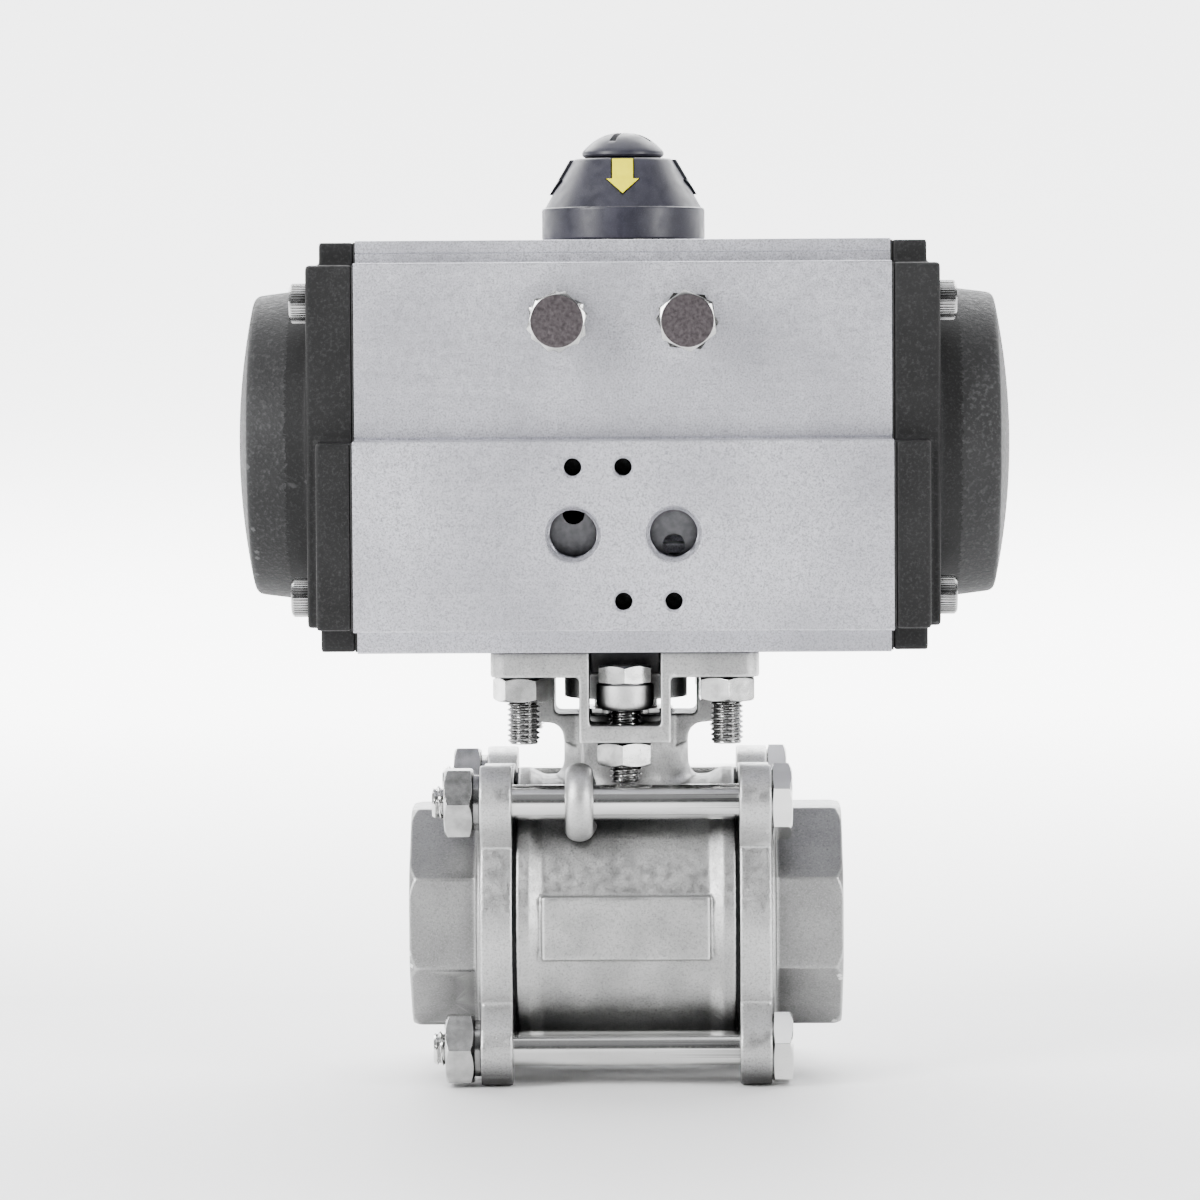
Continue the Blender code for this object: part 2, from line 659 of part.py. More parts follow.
def make_eye():
    """Bent bar round the front of the upper tie bolt, both ends rooted in the barrel."""
    bm = bmesh.new()
    rings = []
    steps = 8
    reach = 0.0072
    for i in range(steps + 1):
        angle = math.radians(20 + (305 - 20) * i / steps)
        ahead = math.cos(angle)
        up = math.sin(angle)
        section = []
        for u, v in circle(1, 8):
            distance = reach + 0.0024 * v
            section.append(bm.verts.new((-0.0112 + 0.0034 * u, distance * ahead - TIE_OFFSET,
                                         distance * up + TIE_OFFSET)))
        rings.append(section)
    for first, second in zip(rings, rings[1:]):
        for k in range(8):
            n = (k + 1) % 8
            bm.faces.new((first[k], first[n], second[n], second[k]))
    bm.faces.new(rings[0])
    bm.faces.new(rings[-1])
    return object_from(bm)


def make_valve_body():
    """Barrel, neck, arms, mounting pad and front bridge, cast in one piece."""
    half = BARREL_HALF_LENGTH
    waist = BARREL_RADIUS - 0.0016
    barrel = turned([(0, -half), (BARREL_RADIUS, -half), (BARREL_RADIUS, -0.0235), (waist, -0.0200),
                     (waist, 0.0200), (BARREL_RADIUS, 0.0235), (BARREL_RADIUS, half), (0, half)], "X")
    label = block((-0.0202, -0.0357, -0.0081), (0.0202, -0.0300, 0.0073))
    neck = turned([(0, 0.0300), (0.0210, 0.0300), (0.0185, 0.0350), (0.0165, 0.0375), (NECK_RADIUS, 0.0405),
                   (NECK_RADIUS, NECK_TOP), (0, NECK_TOP)], sides=MIDDLE)
    saddle = prism(saddle_outline(), -0.0095, 0.0095, "Y")
    pad = prism(pad_outline(), PAD_UNDERSIDE, PAD_TOP)
    boss = rod(0.01525, 0.0538, PAD_UNDERSIDE + OVERRUN, "Z", sides=MIDDLE)
    bridge = prism(bridge_outline(), -PAD_HALF, BRIDGE_DEPTH - PAD_HALF, "Y")
    union(barrel, label, neck, saddle, pad, boss, bridge, make_eye())
    inner = BRIDGE_HALF_WIDTH - BRIDGE_LEG
    cut(barrel, block((-inner, -PAD_HALF - OVERRUN, PAD_UNDERSIDE - OVERRUN),
                      (inner, BRIDGE_DEPTH - PAD_HALF, PAD_TOP + OVERRUN)))
    cut(barrel, rod(CAVITY_RADIUS, -half - OVERRUN, half + OVERRUN, "X", sides=ROUND))
    stem_hole = STEM_RADIUS + CLEARANCE
    cut(barrel, turned([(0, 0.020), (0.0115, 0.020), (0.0115, 0.034), (stem_hole, 0.034), (stem_hole, 0.037),
                        (GLAND_RADIUS, 0.037), (GLAND_RADIUS, NECK_TOP + OVERRUN), (0, NECK_TOP + OVERRUN)],
                       sides=MIDDLE))
    cut(barrel, rod(0.0104, 0.052, PAD_TOP + OVERRUN, "Z", sides=MIDDLE))
    for place in square_places(STUD_OFFSET):
        cut(barrel, rod(M8_RADIUS + 0.0005, PAD_UNDERSIDE - 0.002, PAD_TOP + OVERRUN, "Z", place))
    lever_hole = M8_RADIUS + CLEARANCE
    cut(barrel, rod(lever_hole, BRIDGE_FLOOR - OVERRUN, BRIDGE_FLOOR + 0.006, "Z", (0, LEVER_BOLT_Y)))
    return barrel


def make_end_connection(side):
    """Four-lug flange and octagon hub with the pipe socket, one casting."""
    low, high = sorted((side * FLANGE_START, side * FLANGE_END))
    flange = prism(circle(FLANGE_RADIUS, ROUND), low, high, "X")
    for y, z in square_places(TIE_OFFSET):
        inward = math.atan2(z, y)
        along = (math.cos(inward), math.sin(inward))
        across = (-along[1], along[0])
        start = -0.012
        lug = []
        for reach, half in ((start, LUG_RADIUS), (start, -LUG_RADIUS)):
            lug.append((y + reach * along[0] + half * across[0], z + reach * along[1] + half * across[1]))
        turn = math.degrees(inward)
        lug += arc((y, z), LUG_RADIUS, turn - 90, turn + 90, 12)
        union(flange, prism(lug, low, high, "X"))
    reach = FACE_TO_FACE / 2
    low, high = sorted((side * (FLANGE_END - OVERRUN), side * reach))
    union(flange, prism(across_flats(OCTAGON_FLATS, 8), low, high, "X"))
    start = FLANGE_START - OVERRUN
    floor = reach - SOCKET_DEPTH
    bore = [(0, start), (PORT_BORE, start), (PORT_BORE, floor), (SOCKET_RADIUS, floor),
            (SOCKET_RADIUS, reach - 0.0018), (SOCKET_RADIUS + 0.0028, reach + OVERRUN), (0, reach + OVERRUN)]
    cut(flange, turned([(r, side * x) for r, x in bore], "X"))
    low, high = sorted((side * (FLANGE_START - OVERRUN), side * (FLANGE_END + OVERRUN)))
    for place in square_places(TIE_OFFSET):
        cut(flange, rod(TIE_RADIUS + CLEARANCE, low, high, "X", place))
    return flange


def make_body_gasket(side):
    low, high = sorted((side * (BARREL_HALF_LENGTH + CONTACT), side * (FLANGE_START - CONTACT)))
    return ring(CAVITY_RADIUS + CLEARANCE, BARREL_RADIUS - 0.0012, low, high, "X")


def make_seat(side):
    """Polymer ring whose cone rests on the ball."""
    profile = [(0.0193, 0.02169), (0.0237, 0.01663), (0.0296, 0.01663), (0.0296, FLANGE_START - CONTACT),
               (0.0193, FLANGE_START - CONTACT)]
    return turned([(r, side * x) for r, x in profile], "X", MIDDLE)


def make_ball():
    """Ball with its bore across the pipe and a slot on top for the stem's tang."""
    steps = 12
    profile = arc((0, 0), BALL_RADIUS, -90, 90, steps)
    profile[0] = (0, -BALL_RADIUS)
    profile[-1] = (0, BALL_RADIUS)
    ball = turned(profile, sides=MIDDLE)
    cut(ball, rod(PORT_BORE, -0.03, 0.03, "Y", sides=MIDDLE))
    return cut(ball, block((-0.0200, -0.0030, 0.0232), (0.0200, 0.0030, 0.0300)))


def make_stem():
    """Tang, shoulder, shank and the square that turns it."""
    shank_top = PAD_TOP - 0.0010
    square_top = PAD_TOP + 0.0172
    stem = turned([(0, 0.0240), (0.0072, 0.0240), (0.0072, 0.0292), (0.0108, 0.0292), (0.0108, 0.0335),
                   (STEM_RADIUS, 0.0335), (STEM_RADIUS, shank_top), (0, shank_top)], sides=MIDDLE)
    for y in (-1, 1):
        low, high = sorted((y * 0.0027, y * 0.0120))
        cut(stem, block((-0.0120, low, 0.0230), (0.0120, high, 0.0291)))
    return union(stem, prism(across_flats(DRIVE_SQUARE, 4), shank_top - OVERRUN, square_top))


def make_tie_bolt():
    """Bolt along X, head on the right, its end standing out of the nut on the left."""
    head_start = FLANGE_END + CONTACT
    head_end = FLANGE_END + 0.0051
    bolt = prism(across_flats(TIE_HEAD_FLATS, 6, turn=math.radians(30)), head_start, head_end, "X")
    return union(bolt, rod(TIE_RADIUS, -0.0469, head_start + OVERRUN, "X"))


def make_tie_nut():
    """Nut and spring washer on the bolt's left end."""
    washer_end = -FLANGE_END - CONTACT
    nut_start = washer_end - 0.0014
    nut = prism(across_flats(TIE_NUT_FLATS, 6, turn=math.radians(30)), -0.0439, nut_start, "X")
    union(nut, rod(0.0066, nut_start - OVERRUN, washer_end, "X"))
    return cut(nut, rod(TIE_RADIUS + CLEARANCE, -0.045, washer_end + OVERRUN, "X"))


def make_mount_stud():
    return rod(M8_RADIUS, PAD_UNDERSIDE - 0.0165, PAD_TOP + 0.0130)


def make_lever_stop_bolt():
    flats = across_flats(LEVER_HEAD_FLATS, 6)
    bolt = prism(flats, LEVER_HEAD_LOW, LEVER_HEAD_LOW + 0.0045)
    return union(bolt, rod(M8_RADIUS, BRIDGE_FLOOR - 0.0100, LEVER_HEAD_LOW + OVERRUN))


def make_lever_stop_collar():
    top = LEVER_HEAD_LOW - CONTACT
    hole = M8_RADIUS + CLEARANCE
    return turned([(hole, top - 0.0064), (0.0052, top - 0.0064), (0.0070, top - 0.0050), (0.0070, top),
                   (hole, top)], sides=FINE * 2)


# ---------------------------------------------------------------- assembly

def build_actuator(materials):
    aluminium = materials["anodised_aluminium"]
    bright = materials["bright_stainless"]
    steel = materials["steel"]
    rubber = materials["black_rubber"]
    polymer = materials["white_polymer"]
    finish(make_actuator_body(), "actuator_body", aluminium, ACTUATOR_MIDDLE)
    for name, side in SIDES:
        finish(make_end_cap(side), f"end_cap_{name}", materials["black_coating"], ACTUATOR_MIDDLE)
        finish(make_cap_seal(side), f"cap_seal_{name}", rubber, ACTUATOR_MIDDLE)
        finish(make_piston(side), f"piston_{name}", aluminium, ACTUATOR_MIDDLE)
        finish(make_piston_seal(side), f"piston_seal_{name}", rubber, ACTUATOR_MIDDLE)
        for i, (y, z) in enumerate(cap_screw_places(), 1):
            place = (0, STEM_Y + y, ACTUATOR_MIDDLE[2] + z)
            finish(make_cap_screw(side), f"cap_screw_{name}_{i}", bright, place)
        bolt, z = make_stop_bolt()
        place = (side * STOP_X, STEM_Y, ACTUATOR_MIDDLE[2] + z)
        finish(bolt, f"stop_bolt_{name}", bright, place)
        nut = make_nut(CONTACT - UPPER_FACE - 0.0066, -UPPER_FACE - CONTACT, "Y", M8_RADIUS)
        finish(nut, f"stop_nut_{name}", bright, place)
    finish(make_pinion(), "pinion", steel, ACTUATOR_MIDDLE)
    finish(make_stop_cam(), "stop_cam", steel, ACTUATOR_MIDDLE)
    finish(make_circlip(), "pinion_circlip", steel, ACTUATOR_MIDDLE)
    low, high = HALF_HEIGHT - 0.0118, HALF_HEIGHT - 0.0004
    top_bush = make_bush(SHAFT_RADIUS + CLEARANCE, SHAFT_HOLE_TOP - CLEARANCE, low, high)
    finish(top_bush, "pinion_bush_top", polymer, ACTUATOR_MIDDLE)
    low, high = 0.0004 - HALF_HEIGHT, 0.0120 - HALF_HEIGHT
    bottom_bush = make_bush(SHAFT_FOOT_RADIUS + CLEARANCE, SHAFT_HOLE_BOTTOM - CLEARANCE, low, high)
    finish(bottom_bush, "pinion_bush_bottom", polymer, ACTUATOR_MIDDLE)
    finish(make_indicator_cap(), "indicator_cap", materials["dark_plastic"], ACTUATOR_MIDDLE)
    finish(make_indicator_screw(), "indicator_screw", materials["dark_plastic"], ACTUATOR_MIDDLE)
    for name, angle in (("front", -math.pi / 2), ("rear", math.pi / 2)):
        arrow = make_indicator_arrow(angle)
        finish(arrow, f"indicator_arrow_{name}", materials["yellow_plastic"], ACTUATOR_MIDDLE)


def build_valve(materials):
    cast = materials["cast_stainless"]
    bright = materials["bright_stainless"]
    polymer = materials["white_polymer"]
    finish(make_valve_body(), "valve_body", cast, PIPE_MIDDLE)
    for name, side in SIDES:
        finish(make_end_connection(side), f"end_connection_{name}", cast, PIPE_MIDDLE)
        finish(make_body_gasket(side), f"body_gasket_{name}", materials["black_rubber"], PIPE_MIDDLE)
        finish(make_seat(side), f"seat_{name}", polymer, PIPE_MIDDLE)
    finish(make_ball(), "ball", bright, PIPE_MIDDLE)
    finish(make_stem(), "stem", bright, PIPE_MIDDLE)
    bore = STEM_RADIUS + CLEARANCE
    finish(make_bush(bore, GLAND_RADIUS - CLEARANCE, 0.0371, 0.0459), "stem_packing", polymer, PIPE_MIDDLE)
    finish(make_bush(bore, GLAND_RADIUS - CLEARANCE, 0.0460, 0.0512), "packing_gland", bright, PIPE_MIDDLE)
    for i, (y, z) in enumerate(square_places(TIE_OFFSET), 1):
        place = (0, STEM_Y + y, PIPE_Z + z)
        finish(make_tie_bolt(), f"tie_bolt_{i}", bright, place)
        finish(make_tie_nut(), f"tie_nut_{i}", bright, place)
    for i, (x, y) in enumerate(square_places(STUD_OFFSET), 1):
        place = (x, STEM_Y + y, PIPE_Z)
        finish(make_mount_stud(), f"mount_stud_{i}", bright, place)
        nut_top = PAD_UNDERSIDE - CONTACT
        nut = make_nut(nut_top - NUT_HEIGHT, nut_top, "Z", M8_RADIUS)
        finish(nut, f"mount_nut_{i}", bright, place)
    place = (0, STEM_Y + LEVER_BOLT_Y, PIPE_Z)
    finish(make_lever_stop_bolt(), "lever_stop_bolt", bright, place)
    finish(make_lever_stop_collar(), "lever_stop_collar", cast, place)
    nut_top = BRIDGE_FLOOR - CONTACT
    nut = make_nut(nut_top - 0.0059, nut_top, "Z", M8_RADIUS, turn=math.radians(-5))
    finish(nut, "lever_stop_nut", bright, place)


def main():
    for old in list(bpy.data.objects):
        bpy.data.objects.remove(old)
    materials = make_materials()
    build_actuator(materials)
    build_valve(materials)


main()
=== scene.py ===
"""Looks of the pneumatic actuated valve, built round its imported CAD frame. Metres, +Z up, ports face -Y."""

import math

import bmesh
import bpy
from mathutils import Matrix, Quaternion, Vector


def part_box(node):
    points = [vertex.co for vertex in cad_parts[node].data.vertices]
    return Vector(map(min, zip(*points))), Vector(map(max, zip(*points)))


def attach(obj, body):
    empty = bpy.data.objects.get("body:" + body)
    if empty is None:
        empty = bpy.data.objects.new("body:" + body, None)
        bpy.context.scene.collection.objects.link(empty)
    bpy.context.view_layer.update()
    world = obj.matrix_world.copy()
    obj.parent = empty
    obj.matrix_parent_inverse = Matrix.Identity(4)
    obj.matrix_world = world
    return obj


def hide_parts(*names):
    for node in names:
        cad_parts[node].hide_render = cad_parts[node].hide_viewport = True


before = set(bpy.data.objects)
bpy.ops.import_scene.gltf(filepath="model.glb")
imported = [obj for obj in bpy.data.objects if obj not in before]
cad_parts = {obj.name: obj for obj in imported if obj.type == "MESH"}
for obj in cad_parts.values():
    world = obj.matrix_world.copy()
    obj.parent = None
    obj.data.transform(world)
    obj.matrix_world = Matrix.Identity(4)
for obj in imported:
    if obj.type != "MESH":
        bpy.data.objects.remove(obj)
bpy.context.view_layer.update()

MM = 0.001
PIN_SIDES = 48
WIDE_SIDES = 128
SIDES = (("left", -1), ("right", 1))


# ---------------------------------------------------------------- places read from the frame

def middle(node):
    """Centre of a CAD node's box."""
    low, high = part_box(node)
    return (low + high) / 2


BODY_LOW, BODY_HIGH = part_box("actuator_body")
CAP_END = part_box("end_cap_right")[1].x
PIPE_Z = middle("end_connection_left").z
STEM_Y = middle("pinion").y
BORE_Z = (BODY_LOW.z + BODY_HIGH.z) / 2
BORE = (STEM_Y, BORE_Z)
BODY_BORE = 37.5 * MM
STEM = (0, STEM_Y)
HALF_HEIGHT = (BODY_HIGH.z - BODY_LOW.z) / 2
HALF_LENGTH = BODY_HIGH.x
FRONT = STEM_Y - BODY_LOW.y
REAR = BODY_HIGH.y - STEM_Y
FLANGE_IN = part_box("body_gasket_right")[1].x + 0.1 * MM
BARREL_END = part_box("body_gasket_right")[0].x
TIE_TURN = 30 * MM
STUD_X = middle("mount_nut_4").x


# ---------------------------------------------------------------- shape helpers

def to_world(u, v, w, axis):
    """A point with u and v across the axis, in X, Y, Z order, and w along it."""
    if axis == "X":
        return (w, u, v)
    if axis == "Y":
        return (u, w, v)
    return (u, v, w)


def circle(radius, sides, centre=(0, 0), turn=0.0):
    """Corners of a regular polygon, the first at the turn angle."""
    points = []
    for i in range(sides):
        angle = turn + math.tau * i / sides
        points.append((centre[0] + radius * math.cos(angle), centre[1] + radius * math.sin(angle)))
    return points


def across_flats(width, sides, centre=(0, 0), turn=0.0):
    """A regular polygon by its width across flats, a flat facing the turn angle."""
    step = math.pi / sides
    return circle(width / 2 / math.cos(step), sides, centre, turn + step)


def arc(centre, radius, start, end, steps):
    """Points along an arc between two angles in degrees."""
    points = []
    for i in range(steps + 1):
        angle = math.radians(start + (end - start) * i / steps)
        points.append((centre[0] + radius * math.cos(angle), centre[1] + radius * math.sin(angle)))
    return points


def rounded(outline, radius, steps=4):
    """An outline with every corner rounded off, or filleted where it turns inwards."""
    result = []
    count = len(outline)
    for i in range(count):
        before = Vector(outline[i - 1])
        corner = Vector(outline[i])
        after = Vector(outline[(i + 1) % count])
        size = min(radius, (before - corner).length * 0.45, (after - corner).length * 0.45)
        start = corner + (before - corner).normalized() * size
        end = corner + (after - corner).normalized() * size
        for k in range(steps + 1):
            t = k / steps
            point = start.lerp(corner, t).lerp(corner.lerp(end, t), t)
            result.append(tuple(point))
    return result


def piece(name, bm):
    """A named object from a bmesh, its faces turned outwards."""
    bmesh.ops.remove_doubles(bm, verts=bm.verts, dist=1e-7)
    bmesh.ops.recalc_face_normals(bm, faces=bm.faces)
    mesh = bpy.data.meshes.new(name)
    bm.to_mesh(mesh)
    bm.free()
    obj = bpy.data.objects.new(name, mesh)
    bpy.context.scene.collection.objects.link(obj)
    return obj


def prism(outline, low, high, axis="Z", name="tool"):
    """An outline drawn out between two heights along an axis."""
    bm = bmesh.new()
    ends = []
    for w in (low, high):
        ends.append([bm.verts.new(to_world(u, v, w, axis)) for u, v in outline])
    bm.faces.new(ends[0])
    bm.faces.new(ends[1])
    count = len(outline)
    for i in range(count):
        j = (i + 1) % count
        bm.faces.new((ends[0][i], ends[0][j], ends[1][j], ends[1][i]))
    return piece(name, bm)


def block(low, high, name="tool"):
    """A box between two corners."""
    outline = [(low[0], low[1]), (high[0], low[1]), (high[0], high[1]), (low[0], high[1])]
    return prism(outline, low[2], high[2], name=name)


def skin(bm, rings, ends=True):
    """Faces between neighbouring rings of corners, and over the first and last ring."""
    sides = len(rings[0])
    for first, second in zip(rings, rings[1:]):
        for k in range(sides):
            n = (k + 1) % sides
            bm.faces.new((first[k], first[n], second[n], second[k]))
    if ends:
        bm.faces.new(rings[0])
        bm.faces.new(rings[-1])


def turned(profile, axis="Z", centre=(0, 0), sides=WIDE_SIDES, name="tool"):
    """A closed (radius, height) outline turned about an axis."""
    bm = bmesh.new()
    rings = []
    for radius, height in profile:
        if radius == 0:
            rings.append([bm.verts.new(to_world(centre[0], centre[1], height, axis))])
        else:
            corners = circle(radius, sides, centre)
            rings.append([bm.verts.new(to_world(u, v, height, axis)) for u, v in corners])
    for i in range(len(rings)):
        first = rings[i]
        second = rings[(i + 1) % len(rings)]
        for k in range(sides if len(first) + len(second) > 2 else 0):
            n = (k + 1) % sides
            if len(first) == 1:
                bm.faces.new((first[0], second[k], second[n]))
            elif len(second) == 1:
                bm.faces.new((first[k], first[n], second[0]))
            else:
                bm.faces.new((first[k], first[n], second[n], second[k]))
    return piece(name, bm)


def rod(radius, low, high, axis="Z", centre=(0, 0), sides=PIN_SIDES):
    """A plain cylinder between two heights along an axis."""
    return prism(circle(radius, sides, centre), low, high, axis)


def span(side, start, end):
    """Low and high X of a stretch measured outwards on one side."""
    return sorted((side * start, side * end))


def turned_out(profile, side, place, sides=WIDE_SIDES):
    """A (radius, outward distance) outline turned about X on one side."""
    return turned([(r, side * x) for r, x in profile], "X", place, sides)


def thread_dip(phase):
    """Depth of a thread from 0 on the crest to 1 at the root, for a phase in turns."""
    distance = abs((phase % 1.0) - 0.5) * 2
    return min(1.0, max(0.0, (distance - 0.12) / 0.68))


def threaded(radius, depth, pitch, low, high, axis, centre, inner=None, sides=40, chamfer=(True, True)):
    """A screw thread: a solid rod, or with inner a bush whose inside is threaded outwards from radius."""
    rows = max(2, round((high - low) / pitch * 8))
    bm = bmesh.new()
    grid = []
    for i in range(rows + 1):
        w = low + (high - low) * i / rows
        ends = min(w - low if chamfer[0] else 1, high - w if chamfer[1] else 1)
        edge = max(0.0, 1 - ends / (depth * 1.6))
        ring = []
        for k in range(sides):
            turn = k / sides
            dip = max(thread_dip(w / pitch - turn), edge)
            reach = radius + depth * (1 - dip) if inner else radius - depth * dip
            if inner and edge:
                reach = radius + depth * edge
            angle = math.tau * turn
            ring.append(bm.verts.new(to_world(centre[0] + reach * math.cos(angle),
                                              centre[1] + reach * math.sin(angle), w, axis)))
        grid.append(ring)
    if inner:
        for w in (high, low):
            corners = circle(inner, sides, centre)
            grid.append([bm.verts.new(to_world(u, v, w, axis)) for u, v in corners])
        grid.append(grid[0])
    skin(bm, grid, ends=not inner)
    return piece("thread", bm)


def bake(obj):
    """Applies the modifiers to the mesh."""
    graph = bpy.context.evaluated_depsgraph_get()
    mesh = bpy.data.meshes.new_from_object(obj.evaluated_get(graph))
    obj.modifiers.clear()
    old = obj.data
    obj.data = mesh
    bpy.data.meshes.remove(old)
    return obj


def combine(obj, operation, tools):
    """Joins a piece with each tool in turn by one Boolean operation and removes the tools."""
    for tool in tools:
        modifier = obj.modifiers.new("boolean", "BOOLEAN")
        modifier.operation = operation
        modifier.object = tool
        bake(obj)
        bpy.data.objects.remove(tool)
    return obj


def cut(obj, *tools):
    """Takes the tools away from a piece."""
    return combine(obj, "DIFFERENCE", tools)


def union(obj, *tools):
    """Adds the tools to a piece."""
    return combine(obj, "UNION", tools)


def overlap(obj, *tools):
    """Keeps what a piece shares with the tools."""
    return combine(obj, "INTERSECT", tools)


def bevel(obj, width, segments=2, angle=35):
    """Rounds the edges sharper than an angle in degrees."""
    modifier = obj.modifiers.new("bevel", "BEVEL")
    modifier.width = width
    modifier.segments = segments
    modifier.limit_method = "ANGLE"
    modifier.angle_limit = math.radians(angle)
    modifier.use_clamp_overlap = True
    modifier.harden_normals = False
    return bake(obj)


def cast(obj, voxel, passes, keep=1.0):
    """Melts the edges of a solid into the small fillets of a casting."""
    remesh = obj.modifiers.new("remesh", "REMESH")
    remesh.mode = "VOXEL"
    remesh.voxel_size = voxel
    smooth = obj.modifiers.new("smooth", "SMOOTH")
    smooth.factor = 0.5
    smooth.iterations = passes
    if keep < 1:
        thin = obj.modifiers.new("thin", "DECIMATE")
        thin.ratio = keep
    bake(obj)
    obj.data.shade_smooth()
    return obj


def show(obj, name, material, body, nodes=(), angle=35):
    """Names and shades a finished piece, and ties it to its body, slot and CAD nodes."""
    obj.name = name
    obj.data.name = name
    obj.data.materials.clear()
    obj.data.materials.append(material)
    obj.data.shade_smooth()
    if angle:
        obj.data.set_sharp_from_angle(angle=math.radians(angle))
        weighted = obj.modifiers.new("normals", "WEIGHTED_NORMAL")
        weighted.keep_sharp = True
        bake(obj)
    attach(obj, body)
    if nodes:
        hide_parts(*nodes)
    return obj


def fastener(obj, node, angle=25, paint=None, body="housing"):
    """Shows a stainless part that stands for the CAD node of the same name."""
    return show(obj, f"fine_{node}", paint or BRIGHT, body, [node], angle=angle)


# ---------------------------------------------------------------- materials

class Paint:
    """A material's node tree, with short calls for the nodes used here. Grain sizes are in millimetres."""

    def __init__(self, name, colour, metallic, roughness, **sockets):
        self.material = bpy.data.materials.new(name)
        self.material.use_nodes = True
        self.tree = self.material.node_tree
        self.shader = self.tree.nodes["Principled BSDF"]
        self.shader.inputs["Base Color"].default_value = (*colour, 1)
        self.shader.inputs["Metallic"].default_value = metallic
        self.shader.inputs["Roughness"].default_value = roughness
        for socket, value in sockets.items():
            self.shader.inputs[socket.replace("_", " ")].default_value = value
        self.colour = None
        self.normal = None

    def node(self, kind, inputs=(), **settings):
        """Adds a node with its settings, its inputs linked or set."""
        made = self.tree.nodes.new(kind)
        for key, value in settings.items():
            setattr(made, key, value)
        for key, value in dict(inputs).items():
            if isinstance(value, bpy.types.NodeSocket):
                self.tree.links.new(value, made.inputs[key])
            else:
                made.inputs[key].default_value = value
        return made

    def noise(self, grain, detail=3.0, stretch=(1, 1, 1), rough=0.5):
        """Noise of a grain size, longer along an axis whose stretch is above 1."""
        place = self.node("ShaderNodeTexCoord").outputs["Object"]
        scale = [1 / (grain * MM * s) for s in stretch]
        scaled = self.node("ShaderNodeMapping", {"Vector": place, "Scale": scale}).outputs[0]
        wanted = {"Vector": scaled, "Scale": 1.0, "Detail": detail, "Roughness": rough}
        return self.node("ShaderNodeTexNoise", wanted).outputs["Fac"]

    def spread(self, value, low, high, bottom=0.35, top=0.65):
        """A value between bottom and top, mapped to low..high."""
        wanted = {"Value": value, "From Min": bottom, "From Max": top, "To Min": low, "To Max": high}
        return self.node("ShaderNodeMapRange", wanted).outputs[0]

    def tint(self, value, first, second):
        """Colours the surface from first to second by the value; a second call mixes over the first."""
        before = self.colour or (*first, 1)
        mixed = self.node("ShaderNodeMix", data_type="RGBA")
        self.tree.links.new(value, mixed.inputs[0])
        if self.colour:
            self.tree.links.new(before, mixed.inputs[6])
        else:
            mixed.inputs[6].default_value = before
        mixed.inputs[7].default_value = (*second, 1)
        self.colour = mixed.outputs[2]
        self.tree.links.new(self.colour, self.shader.inputs["Base Color"])

    def rough(self, value):
        self.tree.links.new(value, self.shader.inputs["Roughness"])

    def bump(self, height, strength, depth):
        """Adds relief of a depth in millimetres over what is there already."""
        wanted = {"Height": height, "Strength": strength, "Distance": depth * MM}
        made = self.node("ShaderNodeBump", wanted)
        if self.normal:
            self.tree.links.new(self.normal, made.inputs["Normal"])
        self.normal = made.outputs[0]
        self.tree.links.new(self.normal, self.shader.inputs["Normal"])

    def hollows(self, start=0.44, end=0.49):
        """How much a point lies in an inner corner, from 0 to 1, for painting shade there."""
        pointed = self.node("ShaderNodeNewGeometry").outputs["Pointiness"]
        return self.spread(pointed, 1.0, 0.0, start, end)

    def shelter(self, reach, start=0.75, end=0.25):
        """How much the surfaces within a reach in millimetres close a point in, from 0 to 1, for painting
        shade there.
        """
        wanted = {"Distance": reach * MM}
        open_to_air = self.node("ShaderNodeAmbientOcclusion", wanted, samples=8).outputs["AO"]
        return self.spread(open_to_air, 0.0, 1.0, start, end)

    def edge_highlight(self, reach):
        """How much a point lies within a reach in millimetres of a sharp edge, from 0 to 1, for painting
        highlights there.
        """
        rounded = self.node("ShaderNodeBevel", {"Radius": reach * MM}, samples=6).outputs[0]
        flat = self.node("ShaderNodeNewGeometry").outputs["Normal"]
        both = {0: rounded, 1: flat}
        agree = self.node("ShaderNodeVectorMath", both, operation="DOT_PRODUCT").outputs["Value"]
        return self.spread(agree, 1.0, 0.0, 0.80, 0.98)

    def edges(self, start=0.52, end=0.60):
        """How much a point lies on an outer edge, from 0 to 1."""
        pointed = self.node("ShaderNodeNewGeometry").outputs["Pointiness"]
        return self.spread(pointed, 0.0, 1.0, start, end)


def anodised_aluminium():
    """Bead-blasted extrusion: fine even grain, faint lines along the extrusion, pale lilac grey."""
    paint = Paint("anodised_aluminium", (0.60, 0.60, 0.64), 0.85, 0.46)
    paint.tint(paint.spread(paint.noise(38, 2), 0, 1), (0.50, 0.50, 0.54), (0.69, 0.69, 0.74))
    grain = paint.noise(0.45, 5, rough=0.8)
    paint.tint(paint.spread(grain, 0, 1.0, 0.46, 0.62), (0, 0, 0), (0.30, 0.30, 0.33))
    lines = paint.noise(0.9, 3, stretch=(60, 1, 1))
    paint.tint(paint.spread(lines, 0, 0.08, 0.5, 0.75), (0, 0, 0), (0.95, 0.95, 1.0))
    paint.rough(paint.spread(paint.noise(1.6), 0.40, 0.52))
    paint.bump(lines, 0.12, 0.02)
    paint.bump(grain, 0.50, 0.08)
    return paint.material


